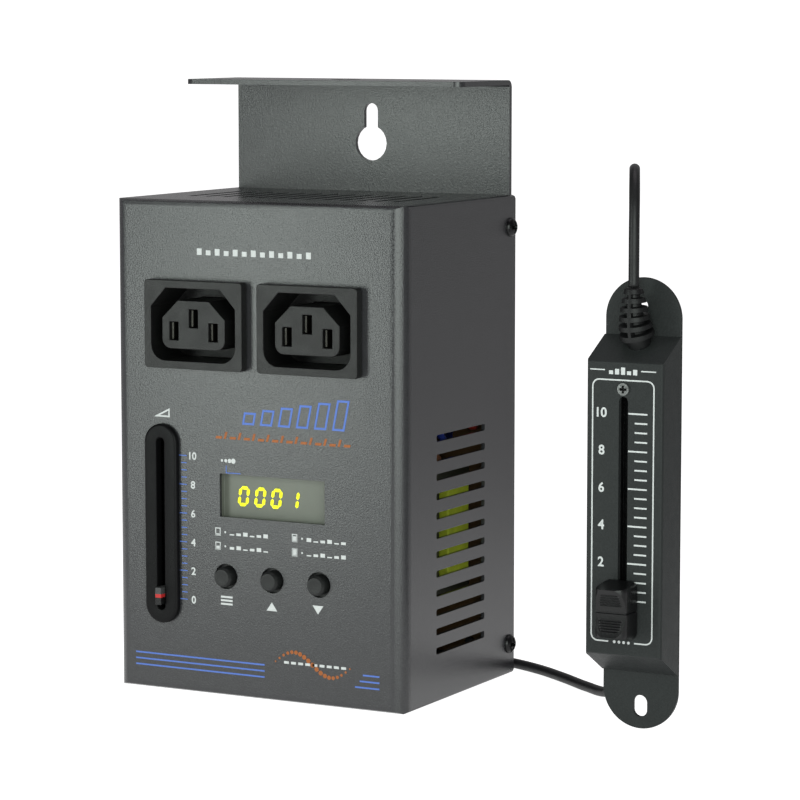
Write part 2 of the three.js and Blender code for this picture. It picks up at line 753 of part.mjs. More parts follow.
// Transformer: a laminated core with two windows, and the coil round its middle limb
const coilX1 = sideX - caseSheet - coilSideGap;
const coreX1 = coilX1 - coilBulge;
const coreX0 = coreX1 - coreStack;
const coreY = powerSeat - coreDepth / 2;
const windowFar = coilDepth / 2 + seatGap;
let core = block(coreX0, coreX1, coreY - coreDepth / 2, coreY + coreDepth / 2,
  coreZ - coreLength / 2, coreZ + coreLength / 2);
for (const side of [-1, 1]) {
  const near = coreY + side * coreLimb / 2;
  const far = coreY + side * windowFar;
  core = core.subtract(block(coreX0 - overrun, coreX1 + overrun, Math.min(near, far),
    Math.max(near, far), coreZ - coilLength / 2 - seatGap, coreZ + coilLength / 2 + seatGap));
}
addPiece('transformer_core', core, 0x4a4c40, 0.6, 0.6);
const limbHalf = coreLimb / 2 + seatGap;
addPiece('transformer_coil', block(coreX0 - coilBulge, coilX1, coreY - coilDepth / 2,
  coreY + coilDepth / 2, coreZ - coilLength / 2, coreZ + coilLength / 2)
  .subtract(block(coreX0 - seatGap, coreX1 + seatGap, coreY - limbHalf, coreY + limbHalf,
    coreZ - coilLength, coreZ + coilLength)), 0xc8d838, 0.5, 0);

// Heat sink with upright fins, and two triacs flat against its underside
const sinkX0 = powerBoardX0 + studInset;
const sinkY0 = powerSeat - sinkDepth;
let sink = block(sinkX0, sinkX0 + sinkWidth, sinkY0, powerSeat, sinkZ, sinkZ + sinkBase);
for (const i of range(sinkFinCount)) {
  const y = sinkY0 + i * (sinkDepth - sinkFinThickness) / (sinkFinCount - 1);
  sink = sink.add(block(sinkX0, sinkX0 + sinkWidth, y, y + sinkFinThickness,
    sinkZ + sinkBase / 2, sinkZ + sinkBase + sinkFinHeight));
}
addPiece('heat_sink', sink, 0x8f9294, 0.4, 0.9);
for (const i of range(2)) {
  const x = sinkX0 + sinkWidth / 2 + (i - 1 / 2) * triacPitch;
  const top = sinkZ - seatGap;
  const bottom = top - triacTabThickness - triacBodyThickness;
  const legEnd = powerSeat;
  const bodyRear = legEnd - triacLegLength;
  let triac = block(x - triacWidth / 2, x + triacWidth / 2, bodyRear - triacTabLength, bodyRear,
    top - triacTabThickness, top)
    .add(block(x - triacWidth / 2, x + triacWidth / 2, bodyRear - triacBodyLength, bodyRear,
      bottom, top - triacTabThickness / 2));
  for (const leg of [-1, 0, 1]) {
    const middle = x + leg * triacLegPitch;
    const height = (top + bottom) / 2;
    triac = triac.add(block(middle - triacLegWidth / 2, middle + triacLegWidth / 2,
      bodyRear - triacLegLength / 2, legEnd, height - triacLegWidth / 2,
      height + triacLegWidth / 2));
  }
  addPiece(`triac_${i + 1}`, triac, 0x262626, 0.5, 0.1);
}

// Two ring chokes, one above the other, flat on the power board
const chokeX = sinkX0 + chokeDiameter / 2;
const ringHalf = (chokeDiameter - chokeBore) / 4;
const ringMiddle = (chokeDiameter + chokeBore) / 4;
const ringOutline = outline(rectangle(2 * ringHalf, chokeThickness, ringMiddle, 0, chokeRound),
  smallSideCount);
for (const i of range(2)) {
  const z = powerBoardBottom + studInset + chokeDiameter / 2 + i * chokeSpacing;
  const ring = new THREE.LatheGeometry([...ringOutline, ringOutline[0]], chokeSideCount);
  ring.translate(chokeX, powerSeat - chokeThickness / 2, z);
  addPiece(`choke_${i + 1}`, toSolid(ring), 0xa8662c, 0.45, 0.3);
}

// Mains inlet in the left side, with three pins in its cavity
const leftOut = -sideX - seatGap;
const inletFace = -sideX - inletFlangeProud;
const inletRear = -sideX + inletBodyDepth;
let inlet = draw('x', outline(rectangle(inletFlangeWidth, inletFlangeHeight, columnY, inletZ,
  inletRound), smallSideCount), inletFace, leftOut)
  .add(draw('x', outline(rectangle(inletBodyWidth, inletBodyHeight, columnY, inletZ)),
    -sideX - inletFlangeProud / 2, inletRear))
  .subtract(draw('x', keyedOutline(inletCavityWidth, inletCavityHeight, inletChamfer,
    inletChamfer, inletRound, columnY, inletZ), inletFace - overrun,
  inletFace + inletCavityDepth));
for (const [pin, dy, dz] of contactPlaces) {
  const y = columnY - dy;
  const z = inletZ + dz;
  inlet = inlet.subtract(block(inletFace, inletRear + overrun,
    y - inletPinThickness / 2 - seatGap, y + inletPinThickness / 2 + seatGap,
    z - inletPinHeight / 2 - seatGap, z + inletPinHeight / 2 + seatGap));
  addPiece(`inlet_${pin}_pin`, block(inletFace + contactSetback, inletRear + inletPinTail,
    y - inletPinThickness / 2, y + inletPinThickness / 2,
    z - inletPinHeight / 2, z + inletPinHeight / 2), 0xc4c4bf, 0.3, 0.9);
}
addPiece('mains_inlet', inlet, 0x232424, 0.5, 0);

// Fuse holder with a coin slot in its cap
const fuseFace = -sideX - fuseCapProud;
const fuse = rod('x', fuseFace, leftOut, fuseCapDiameter, columnY, fuseZ)
  .add(rod('x', leftOut - seatGap, -sideX + fuseBodyDepth, fuseBodyDiameter, columnY, fuseZ))
  .subtract(block(fuseFace - overrun, fuseFace + fuseSlotDepth, columnY - fuseCapDiameter,
    columnY + fuseCapDiameter, fuseZ - fuseSlotWidth / 2, fuseZ + fuseSlotWidth / 2));
addPiece('fuse_holder', fuse, 0x262727, 0.5, 0);

// Signal sockets: the input holds three pins, the output three contact holes
const signalFace = -sideX - signalFlangeThickness;
const signalPins = [-1, 0, 1].map((place) => {
  const angle = place * Math.PI / 2 - Math.PI / 2;
  return [signalPinCircle / 2 * Math.cos(angle), signalPinCircle / 2 * Math.sin(angle)];
});
function signalBody(z) {
  return draw('x', outline(rectangle(signalFlangeWidth, signalFlangeHeight, columnY, z,
    signalFlangeRound), smallSideCount), signalFace, leftOut)
    .add(rod('x', -sideX - signalFlangeThickness / 2, -sideX + signalBodyDepth,
      signalBodyDiameter, columnY, z));
}
let signalIn = signalBody(signalInZ).subtract(rod('x', signalFace - overrun,
  signalFace + signalBoreDepth, signalBoreDiameter, columnY, signalInZ));
let signalOut = signalBody(signalOutZ);
for (const [dy, dz] of signalPins) {
  signalIn = signalIn.add(rod('x', signalFace + contactSetback, signalFace + signalBoreDepth
    + seatGap, signalPinDiameter, columnY + dy, signalInZ + dz, smallSideCount));
  signalOut = signalOut.subtract(rod('x', signalFace - overrun, signalFace + signalBoreDepth,
    signalContactBore, columnY + dy, signalOutZ + dz, smallSideCount));
}
addPiece('signal_in_socket', signalIn, 0x3b3d3f, 0.4, 0.3);
addPiece('signal_out_socket', signalOut, 0x2b2d2f, 0.45, 0.2);

// Socket for the remote, with its nut outside the panel
const jackFace = -sideX - jackThreadProud;
const jackInner = -sideX + caseSheet + seatGap;
const jack = rod('x', jackFace, jackInner + seatGap, jackThreadDiameter, columnY, jackZ)
  .add(block(jackInner, jackInner + jackBodyDepth, columnY - jackBodyWidth / 2,
    columnY + jackBodyWidth / 2, jackZ - jackBodyWidth / 2, jackZ + jackBodyWidth / 2))
  .subtract(rod('x', jackFace - overrun, jackInner + jackBodyDepth - slideWall, jackBore,
    columnY, jackZ));
addPiece('remote_socket', jack, 0x2a2b2b, 0.5, 0);
const hexSideCount = 6;
const nut = rod('x', leftOut - jackNutHeight, leftOut, jackNutWidth, columnY, jackZ, hexSideCount)
  .subtract(rod('x', leftOut - jackNutHeight - overrun, leftOut + overrun,
    jackThreadDiameter + 2 * seatGap, columnY, jackZ));
addPiece('remote_socket_nut', nut, 0xb4b6b6, 0.3, 0.9);

// A tube of a given diameter along points chosen by hand
function tube(points, diameter, steps, sides = cordSideCount) {
  const path = new THREE.CatmullRomCurve3(points, false, 'catmullrom', 1 / 2);
  const section = range(sides).map((i) => new THREE.Vector2(
    diameter / 2 * Math.cos(2 * Math.PI * i / sides),
    diameter / 2 * Math.sin(2 * Math.PI * i / sides),
  ));
  const shape = new THREE.Shape(section);
  return toSolid(new THREE.ExtrudeGeometry(shape, { steps, extrudePath: path }));
}
const point = (x, y, z) => new THREE.Vector3(x, y, z);

// Three wires that bow past the side vents on their way to the power board
const tagEnd = outletRear + contactTagLength + seatGap;
const tagInset = -contactSlotWidth / 2 + seatGap + contactThickness / 2;
const wireStepCount = 15;
// Shares: of the case's half width, of the way from the tags to the power board, and of
// the height from the transformer to the outlets
const coreTop = coreZ + coreLength / 2;
const wireRoutes = [
  { name: 'wire_neutral', color: 0x3a55c8, tagX: outletCentres[1] - pinSpacing + tagInset, shares: [
    [0.275, 0.155, 0.933], [0.490, 0.280, 0.778], [0.745, 0.295, 0.533],
    [0.892, 0.255, 0.311], [0.902, 0.450, 0.156], [0.804, 0.720, 0.133],
  ], landingShares: [0.706, 0.222] },
  { name: 'wire_live_1', color: 0x8a4a2a, tagX: outletCentres[1] + pinSpacing + tagInset, shares: [
    [0.588, 0.155, 0.889], [0.784, 0.180, 0.600], [0.892, 0.130, 0.311],
    [0.902, 0.205, 0.133], [0.843, 0.428, 0.058], [0.647, 0.627, 0.067],
    [0.520, 0.825, 0.156],
  ], landingShares: [0.510, 0.222] },
  { name: 'wire_live_2', color: 0xc8442a, tagX: outletCentres[0] + pinSpacing + tagInset, shares: [
    [-0.196, 0.254, 0.911], [0.078, 0.502, 0.844], [0.392, 0.651, 0.756],
    [0.706, 0.670, 0.578], [0.895, 0.690, 0.340], [0.918, 0.780, 0.262],
    [0.900, 0.870, 0.250],
  ], landingShares: [0.865, 0.240] },
];
for (const { name, color, tagX, shares, landingShares } of wireRoutes) {
  const wireX = (share) => share * sideX;
  const wireY = (share) => tagEnd + share * (powerSeat - tagEnd);
  const wireZ = (share) => coreTop + share * (outletZ - coreTop);
  const [landingX, landingZ] = [wireX(landingShares[0]), wireZ(landingShares[1])];
  const route = [
    point(tagX, tagEnd, outletZ - pinRise),
    point(tagX, tagEnd + wireDiameter, outletZ - pinRise),
    ...shares.map(([x, y, z]) => point(wireX(x), wireY(y), wireZ(z))),
    point(landingX, powerSeat - wireDiameter, landingZ),
    point(landingX, powerSeat, landingZ),
  ];
  addPiece(name, tube(route, wireDiameter, wireStepCount), color, 0.5, 0);
}

// Remote: base plate with round ends, a long hole at its foot and a round one at its head
const basePlateMiddle = basePlateHeight / 2;
const throughBase = (points) => draw('y', points, remoteDepth - overrun,
  remoteDepth + basePlateSheet + overrun);
const basePlate = draw('y', oblong(basePlateWidth, basePlateHeight, 0, basePlateMiddle),
  remoteDepth, remoteDepth + basePlateSheet)
  .subtract(throughBase(oblong(basePlateHoleWidth, basePlateHoleHeight, 0, basePlateHoleRise,
    smallSideCount)))
  .subtract(throughBase(oblong(basePlateHeadHoleWidth, basePlateHeadHoleWidth,
    basePlateHeadHoleX, basePlateHeight - basePlateHeadHoleDrop, smallSideCount)));
addPiece('remote_base_plate', basePlate, 0x3f4342, 0.55, 0.2, remote);

// Remote cover: a hollow body whose ends lean back to the base plate
const remoteRear = remoteDepth - seatGap;
const leanBottomShare = remoteBottomLean / remoteDepth;
const leanTopShare = remoteTopLean / remoteDepth;
function remoteBody(inset) {
  const x = remoteWidth / 2 - inset;
  const rear = inset > 0 ? remoteDepth + overrun : remoteRear;
  const radius = Math.max(remoteRound - inset, 0);
  const bottomInset = inset * Math.hypot(1, leanBottomShare);
  const topInset = inset * Math.hypot(1, leanTopShare);
  const bottom = (y) => remoteFaceBottom - leanBottomShare * y + bottomInset;
  const top = (y) => remoteFaceTop + leanTopShare * y - topInset;
  const side = outline([
    [inset, bottom(inset), radius], [rear, bottom(rear)],
    [rear, top(rear)], [inset, top(inset), radius],
  ], smallSideCount);
  const plan = outline([[-x, rear], [-x, inset, radius], [x, inset, radius], [x, rear]],
    smallSideCount);
  return draw('x', side, -x, x).intersect(draw('z', plan, 0, basePlateHeight));
}
const remoteSlotLength = remoteTravel + remoteLeverHeight + 2 * runGap;
const remoteScrewZ = [-1, 1].map((side) => remoteSlotZ + side * remoteScrewSpacing / 2);
let remoteCover = remoteBody(0).subtract(remoteBody(remoteWall));
remoteCover = remoteCover
  .subtract(draw('y', oblong(remoteSlotWidth, remoteSlotLength, remoteSlotX, remoteSlotZ,
    smallSideCount), -overrun, remoteWall + seatGap))
  .subtract(rod('z', reliefCollarTop, basePlateHeight, reliefShankDiameter + 2 * seatGap,
    reliefBaseX, reliefShankY));
for (const z of remoteScrewZ) {
  remoteCover = remoteCover.subtract(rod('y', -overrun, remoteWall + seatGap,
    remoteScrewShank + 2 * seatGap, remoteSlotX, z, smallSideCount));
}
addPiece('remote_cover', remoteCover, 0x3b3d3c, 0.5, 0.1, remote);

// Remote slide body behind the face, its lever and its two screws
const remoteSlideRear = remoteWall + seatGap + remoteSlideDepth;
let remoteSlide = slideBody(remoteSlotX, remoteSlotZ, remoteSlideRear, remoteSlideDepth,
  slideBodyWidth, remoteSlideLength, remoteTravel, remoteLeverWidth, remoteLeverHeight,
  remoteCarriage);
for (const z of remoteScrewZ) {
  remoteSlide = remoteSlide.subtract(rod('y', 0, remoteWall + seatGap + slideWall,
    remoteScrewShank + 2 * seatGap, remoteSlotX, z, smallSideCount));
}
addPiece('remote_fader_body', remoteSlide, 0x9a9c9b, 0.4, 0.8, remote);
const knobBase = -remoteScrewProud - seatGap;
const knobCavityEnd = knobHollow - knobProud + knobCap;
addPiece('remote_fader_lever', slideLever(remoteSlotX, remoteSlotZ, remoteSlideRear,
  remoteSlideDepth, slideBodyWidth, remoteTravel, remoteLeverWidth, remoteLeverHeight,
  remoteCarriage, knobCavityEnd + seatGap), 0xa4a6a6, 0.35, 0.8, remote);
remoteScrewZ.forEach((z, i) => {
  const screw = rod('y', -remoteScrewProud, -seatGap, remoteScrewHead, remoteSlotX, z)
    .add(rod('y', -remoteScrewProud / 2, remoteWall + seatGap + slideWall - seatGap,
      remoteScrewShank, remoteSlotX, z, smallSideCount));
  addPiece(`remote_fader_screw_${i + 1}`, screw, 0x8b8d8d, 0.35, 0.8, remote);
});

// Knob: tapered, with a hollow face and a fine groove round its middle, on the lever's end
const knobZ = remoteSlotZ - remoteTravel / 2;
const hollowSteps = 8;
const hollowArc = range(hollowSteps + 1).map((step) => {
  const share = 1 - 2 * step / hollowSteps;
  return [knobHollow * (1 - share ** 2) - knobProud, knobZ + share * knobFaceLength / 2];
});
const knobSide = [[knobBase, knobZ - knobLength / 2], [knobBase, knobZ + knobLength / 2],
  ...hollowArc];
function knobPlan(inset) {
  const half = knobWidth / 2 - inset;
  const halfFace = knobFaceWidth / 2 - inset;
  return outline([
    [remoteSlotX + half, knobBase], [remoteSlotX - half, knobBase],
    [remoteSlotX - halfFace, -knobProud, knobShoulder],
    [remoteSlotX + halfFace, -knobProud, knobShoulder],
  ]);
}
const grooveSpan = [knobZ - knobGrooveWidth / 2, knobZ + knobGrooveWidth / 2];
const groove = block(remoteSlotX - knobWidth, remoteSlotX + knobWidth, -knobProud - overrun,
  knobBase + overrun, ...grooveSpan)
  .subtract(draw('z', knobPlan(knobGrooveDepth), ...grooveSpan)
    .intersect(block(remoteSlotX - knobWidth, remoteSlotX + knobWidth,
      knobHollow + knobGrooveDepth - knobProud, overrun, ...grooveSpan)));
const stemHalfWidth = remoteLeverWidth / 2 + seatGap;
const stemHalfHeight = remoteLeverHeight / 2 + seatGap;
const knob = draw('x', outline(knobSide), remoteSlotX - knobWidth / 2,
  remoteSlotX + knobWidth / 2)
  .intersect(draw('z', knobPlan(0), 0, basePlateHeight))
  .subtract(groove)
  .subtract(block(remoteSlotX - stemHalfWidth, remoteSlotX + stemHalfWidth, knobCavityEnd,
    overrun, knobZ - stemHalfHeight, knobZ + stemHalfHeight));
addPiece('remote_knob', knob, 0x1e1e20, 0.4, 0, remote);

// Strain relief: a neck square to the cover's leaning top, then rings that narrow while
// they bend upright towards the cord; a shank and a collar keep it in the cover
const reliefCurve = new THREE.QuadraticBezierCurve3(
  point(reliefBaseX, reliefBaseY, remoteFaceTop + leanTopShare * reliefBaseY),
  point(0, reliefY, reliefBendHeight), point(0, reliefY, reliefTop));
const reliefLength = reliefCurve.getLength();
const reliefProfile = [[0, 0], [reliefNeckDiameter / 2, 0]];
for (const i of range(reliefRibCount)) {
  const share = i / (reliefRibCount - 1);
  const radius = THREE.MathUtils.lerp(reliefBaseDiameter, reliefTipDiameter, share) / 2;
  const from = reliefNeckHeight + i * reliefRibPitch;
  const last = i === reliefRibCount - 1;
  const to = last ? reliefLength : from + reliefRibHeight;
  const core = i === 0 ? reliefNeckDiameter / 2 : radius - reliefRibDepth;
  reliefProfile.push([core, from], [radius, from], [radius, to]);
  if (last) reliefProfile.push([0, to]);
  if (!last) reliefProfile.push([radius - reliefRibDepth, to]);
}
// A point of the straight profile is carried to the curve: z becomes the way along it
function bend(vertex) {
  const share = THREE.MathUtils.clamp(vertex[2] / reliefLength, 0, 1);
  const along = reliefCurve.getTangentAt(share);
  const ahead = along.clone().cross(new THREE.Vector3(1, 0, 0)).normalize();
  const across = ahead.clone().cross(along);
  const place = reliefCurve.getPointAt(share)
    .addScaledVector(across, vertex[0]).addScaledVector(ahead, vertex[1]);
  place.toArray(vertex);
}
const aboveTop = draw('x', [
  new THREE.Vector2(-overrun, remoteFaceTop + seatGap - leanTopShare * overrun),
  new THREE.Vector2(remoteDepth + overrun,
    remoteFaceTop + remoteTopLean + seatGap + leanTopShare * overrun),
  new THREE.Vector2(remoteDepth + overrun, reliefTop), new THREE.Vector2(-overrun, reliefTop),
], -remoteWidth, remoteWidth);
const shankTop = remoteFaceTop + leanTopShare * reliefShankY + reliefNeckHeight;
const relief = turned(reliefProfile, reliefSideCount)
  .warp(bend)
  .intersect(aboveTop)
  .add(rod('z', reliefCollarTop - seatGap, shankTop, reliefShankDiameter,
    reliefBaseX, reliefShankY))
  .add(rod('z', reliefCollarTop - reliefCollarThickness, reliefCollarTop, reliefCollarDiameter,
    reliefBaseX, reliefCollarY));
addPiece('remote_strain_relief', relief, 0x161617, 0.5, 0, remote);

// Cord: up from the relief, over and down behind the remote, then along the floor
const floorZ = cordDiameter / 2 + seatGap / 2;
const coilY = rearY + coilSetback;
const outerRadius = coilMidDiameter / 2 + coilTurnCount * coilPitch / 2;
const innerRadius = coilMidDiameter / 2 - coilTurnCount * coilPitch / 2;
const coilFront = coilY - outerRadius;
const reliefX = remoteX;
const cordY = remoteY + reliefY;
const cordStepCount = 46;
const cordRoute = [
  [reliefX, cordY, reliefTop + seatGap], [reliefX, cordY, 139], [reliefX, cordY, 148],
  [119.6, -24.6, 157.5], [116.7, -18.2, 163.8], [112.6, -9, 163.8], [109.7, -2.6, 157],
  [108.8, -0.4, 146], [108.6, 0, 130], [108.6, 0, 110], [108.6, 0, 90], [108.6, 0, 70],
  [108.6, 0, 50], [108.4, 0.2, 32], [107.6, 1.2, 18], [103.4, 5.2, 7.2], [95, 12.2, 2.6],
  [84, 21, floorZ], [72, 30, floorZ], [59, 38.5, floorZ], [45, 44.6, floorZ],
  [30, coilFront, floorZ], [16, coilFront, floorZ],
  [coilX + cordDiameter + seatGap, coilFront, floorZ],
];
addPiece('remote_cord', tube(cordRoute.map(([x, y, z]) => point(x, y, z)), cordDiameter,
  cordStepCount), 0x1b1b1c, 0.55, 0);

// Coil: four layers that spiral in and out, climbing where the spiral reverses
const coilTurns = coilLayerCount * coilTurnCount;
function coilPoint(turn) {
  const folded = Math.abs(1 - (turn / coilTurnCount) % 2);
  const radius = innerRadius + (outerRadius - innerRadius) * folded;
  const climbShare = 1 / 4;
  let layer = Math.min(Math.floor(turn / coilTurnCount), coilLayerCount - 1);
  for (const reversal of range(coilLayerCount - 1).map((i) => (i + 1) * coilTurnCount)) {
    if (Math.abs(turn - reversal) < climbShare) {
      layer = reversal / coilTurnCount - 1 / 2 + (turn - reversal) / (2 * climbShare);
    }
  }
  const angle = -Math.PI / 2 - 2 * Math.PI * turn;
  return point(coilX + radius * Math.cos(angle), coilY + radius * Math.sin(angle),
    floorZ + layer * coilPitch);
}
const coilPath = [point(coilX + cordDiameter, coilFront, floorZ)];
for (const step of range(coilTurns * coilStepCount + 1)) coilPath.push(coilPoint(step / coilStepCount));
const coilTopZ = floorZ + (coilLayerCount - 1) * coilPitch;
coilPath.push(point(coilX - cordDiameter, coilFront, coilTopZ));

// One unbroken tube of rings through a list of points, closed at both ends
function ringTube(path, diameter, sides) {
  const positions = [];
  const triangles = [];
  path.forEach((centre, i) => {
    const along = path[Math.min(i + 1, path.length - 1)].clone()
      .sub(path[Math.max(i - 1, 0)]).normalize();
    const across = new THREE.Vector3(-along.y, along.x, 0).normalize();
    const up = along.clone().cross(across);
    for (const side of range(sides)) {
      const angle = 2 * Math.PI * (side + 1 / 2) / sides;
      const ringPoint = centre.clone()
        .addScaledVector(across, diameter / 2 * Math.cos(angle))
        .addScaledVector(up, diameter / 2 * Math.sin(angle));
      positions.push(...ringPoint.toArray());
    }
    for (const side of range(sides)) {
      const next = (side + 1) % sides;
      const here = i * sides;
      if (i + 1 < path.length) {
        triangles.push(here + side, here + next, here + sides + side);
        triangles.push(here + next, here + sides + next, here + sides + side);
      }
    }
  });
  for (const side of range(sides - 2)) {
    const last = (path.length - 1) * sides;
    triangles.push(0, side + 2, side + 1);
    triangles.push(last, last + side + 1, last + side + 2);
  }
  const geometry = new THREE.BufferGeometry();
  geometry.setAttribute('position', new THREE.Float32BufferAttribute(positions, 3));
  geometry.setIndex(triangles);
  return toSolid(geometry);
}
addPiece('remote_cord_coil', ringTube(coilPath, cordDiameter, coilSideCount), 0x1b1b1c, 0.55, 0);

// Least gap of the coil to itself, between points more than half a turn apart
let leastGap = Infinity;
for (let i = 0; i < coilPath.length; i += 1) {
  for (let j = i + coilStepCount / 2; j < coilPath.length; j += 1) {
    leastGap = Math.min(leastGap, coilPath[i].distanceTo(coilPath[j]) - cordDiameter);
  }
}
console.log(`least gap of the coil to itself: ${leastGap.toFixed(3)} mm`);

// Tail of the cord, easing down to the plug that lies on the floor
const plugZ = plugDiameter / 2 + seatGap / 2;
const tailStart = coilX - cordDiameter - seatGap;
const tailShares = [0, 0.08, 0.25, 0.42, 0.58, 0.75, 0.92, 1];
const tailStepCount = 9;
const tailRoute = tailShares.map((share) => point(tailStart - share * tailLength, coilFront,
  THREE.MathUtils.lerp(coilTopZ, plugZ, THREE.MathUtils.smoothstep(share, 0, 1))));
addPiece('remote_cord_tail', tube(tailRoute, cordDiameter, tailStepCount), 0x1b1b1c, 0.55, 0);

// Jack plug: a tapered shell and a pin with a neck behind its tip
const plugStart = tailStart - tailLength - seatGap;
function alongPlug(solid) {
  return solid.rotate(0, -90, 0).translate(plugStart, coilFront, plugZ);
}
const pinSeat = plugPinDiameter / 2 + seatGap;
const plugShell = turned([
  [0, 0], [plugBootDiameter / 2, 0], [plugDiameter / 2, plugBootLength],
  [plugDiameter / 2, plugLength], [pinSeat, plugLength], [pinSeat, plugLength - plugPinSocket],
  [0, plugLength - plugPinSocket],
]);
addPiece('remote_plug_shell', alongPlug(plugShell), 0x1c1c1d, 0.4, 0.1);
const pinStart = plugLength - plugPinSocket + seatGap;
const pinEnd = pinStart + plugPinLength + plugPinSocket;
const plugPin = turned([
  [0, pinStart], [plugPinDiameter / 2, pinStart],
  [plugPinDiameter / 2, pinEnd - 2 * plugPinTip], [plugPinNeck / 2, pinEnd - plugPinTip],
  [plugPinDiameter / 2, pinEnd - plugPinTip / 2], [plugPinNeck / 4, pinEnd], [0, pinEnd],
]);
addPiece('remote_plug_pin', alongPlug(plugPin), 0xc2c4c4, 0.25, 0.95);

export default part;
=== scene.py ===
import math

import bmesh
import bpy
import numpy as np
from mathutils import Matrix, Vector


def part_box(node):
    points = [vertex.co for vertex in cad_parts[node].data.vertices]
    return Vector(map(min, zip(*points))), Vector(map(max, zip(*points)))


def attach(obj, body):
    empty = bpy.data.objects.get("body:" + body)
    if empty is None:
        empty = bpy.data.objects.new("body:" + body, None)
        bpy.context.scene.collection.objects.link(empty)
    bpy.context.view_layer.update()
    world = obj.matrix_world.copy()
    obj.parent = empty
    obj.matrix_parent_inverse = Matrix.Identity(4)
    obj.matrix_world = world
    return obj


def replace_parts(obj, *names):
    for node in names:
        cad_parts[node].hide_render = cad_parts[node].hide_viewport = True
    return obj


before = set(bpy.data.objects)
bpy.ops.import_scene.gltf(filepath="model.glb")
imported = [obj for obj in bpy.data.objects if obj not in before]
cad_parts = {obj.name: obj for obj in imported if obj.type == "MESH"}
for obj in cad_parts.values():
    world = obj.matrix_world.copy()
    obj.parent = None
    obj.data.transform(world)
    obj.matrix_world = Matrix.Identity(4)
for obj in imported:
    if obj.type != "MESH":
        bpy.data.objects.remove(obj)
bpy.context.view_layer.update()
MM = 0.001

# The view: a camera a metre away, a little above the case and to the right of its front.
# Soft boxes stand on the floor at the left and right of it, and a wide soft light hangs
# high above. The sky adds a faint even glow.
scene = bpy.context.scene
camera_data = bpy.data.cameras.new("camera")
camera_data.sensor_width = 36
camera_data.lens = 148.52


def linear(code):
    """Linear colour of a #rrggbb code: each part c becomes ((c + 0.055) / 1.055) ** 2.4."""
    parts = np.array([int(code[i:i + 2], 16) for i in (1, 3, 5)]) / 255
    parts = np.where(parts < 0.04045, parts / 12.92, ((parts + 0.055) / 1.055) ** 2.4)
    return (*parts.tolist(), 1.0)


def set_inputs(node, values):
    """Constants for a node's inputs, by their names or numbers."""
    for key, value in values.items():
        node.inputs[key].default_value = value


def add_node(nodes, kind, operation=None, values=()):
    """A new shader node with its operation and the constants of its inputs."""
    node = nodes.new("ShaderNode" + kind)
    if operation:
        node.operation = operation
    set_inputs(node, dict(values))
    return node


def join(source, output, target, socket):
    """A link from one node's output to another's input, each by its name or number."""
    source.id_data.links.new(source.outputs[output], target.inputs[socket])


def new_object(name, data):
    """An object in the scene that carries the data."""
    thing = bpy.data.objects.new(name, data)
    scene.collection.objects.link(thing)
    return thing


def area_light(name, place, aim, size, watts, colour):
    """A rectangular light of that size at place, turned towards the point aim."""
    data = bpy.data.lights.new(name, "AREA")
    data.shape = "RECTANGLE"
    data.size, data.size_y = size
    data.energy = watts
    data.color = linear(colour)[:3]
    lamp = new_object(name, data)
    lamp.location = place
    way = np.array(aim) - np.array(place)
    lamp.rotation_euler = (
        math.acos(-way[2] / np.linalg.norm(way)), 0, math.atan2(way[1], way[0]) - math.pi / 2)
    lamp.visible_camera = False


camera = new_object("camera", camera_data)
camera.location = (0.50846, -0.89759, 0.20945)
camera.rotation_euler = (math.radians(83.336), 0, math.radians(28.075))
scene.camera = camera
area_light("left_box", (-0.207, -0.396, 0.18), (0.0, -0.03, 0.18), (0.12, 0.36), 0.92, "#f4fff8")
area_light("right_box", (0.361, -0.509, 0.2), (0.0, -0.03, 0.2), (0.48, 0.4), 3.0, "#f4fff8")
area_light("top_light", (0.1, 0.25, 1.6), (0.05, 0.0, 0.0), (1.2, 1.2), 6, "#fff8ff")

world = bpy.data.worlds.new("soft_sky")
world.use_nodes = True
set_inputs(world.node_tree.nodes["Background"],
           {"Color": linear("#fff6ff"), "Strength": 0.12})
scene.world = world
scene.view_settings.view_transform = "Standard"


# The floor: pale and matt, level up to the bend at its rear and then upright. The camera
# sees it white. As a light it is strongest near the front left of the case.
floor_half, floor_near, floor_bend, floor_top = 4.0, -3.0, 1.6, 3.0
bend_radius, bend_angle = 0.8, np.linspace(0.1, np.pi / 2, 14)
floor_run = np.concatenate([
    np.stack([np.linspace(floor_near, floor_bend, 12), np.zeros(12)], -1),
    np.stack([floor_bend + bend_radius * np.sin(bend_angle),
              bend_radius - bend_radius * np.cos(bend_angle)], -1),
    [(floor_bend + bend_radius, floor_top)]])
floor_points = [(x, y, z) for y, z in floor_run for x in (-floor_half, floor_half)]
floor_faces = [(k, k + 1, k + 3, k + 2) for k in range(0, 2 * len(floor_run) - 2, 2)]
floor_mesh = bpy.data.meshes.new("floor")
floor_mesh.from_pydata(floor_points, [], floor_faces)
floor_mesh.polygons.foreach_set("use_smooth", [True] * len(floor_mesh.polygons))
floor = new_object("floor", floor_mesh)
floor.location.z = -0.2 * MM
floor_paint = bpy.data.materials.new("floor_paint")
floor_paint.use_nodes = True
floor_shader = floor_paint.node_tree.nodes["Principled BSDF"]
set_inputs(floor_shader, {"Base Color": linear("#b4b4b4"), "Roughness": 0.9,
                          "Emission Strength": 1})
nodes = floor_paint.node_tree.nodes
place = add_node(nodes, "TexCoord")
distance = add_node(nodes, "VectorMath", "DISTANCE", {1: (-0.1, -0.2, 0.0)})
glow = add_node(nodes, "MapRange", values={
    "From Min": 0.2, "From Max": 0.75, "To Min": 1.0, "To Max": 0.28})
ray = add_node(nodes, "LightPath")
shine = add_node(nodes, "Math", "MAXIMUM")
join(place, "Object", distance, 0)
join(distance, "Value", glow, "Value")
join(glow, "Result", shine, 0)
join(ray, "Is Camera Ray", shine, 1)
join(shine, 0, floor_shader, "Emission Color")
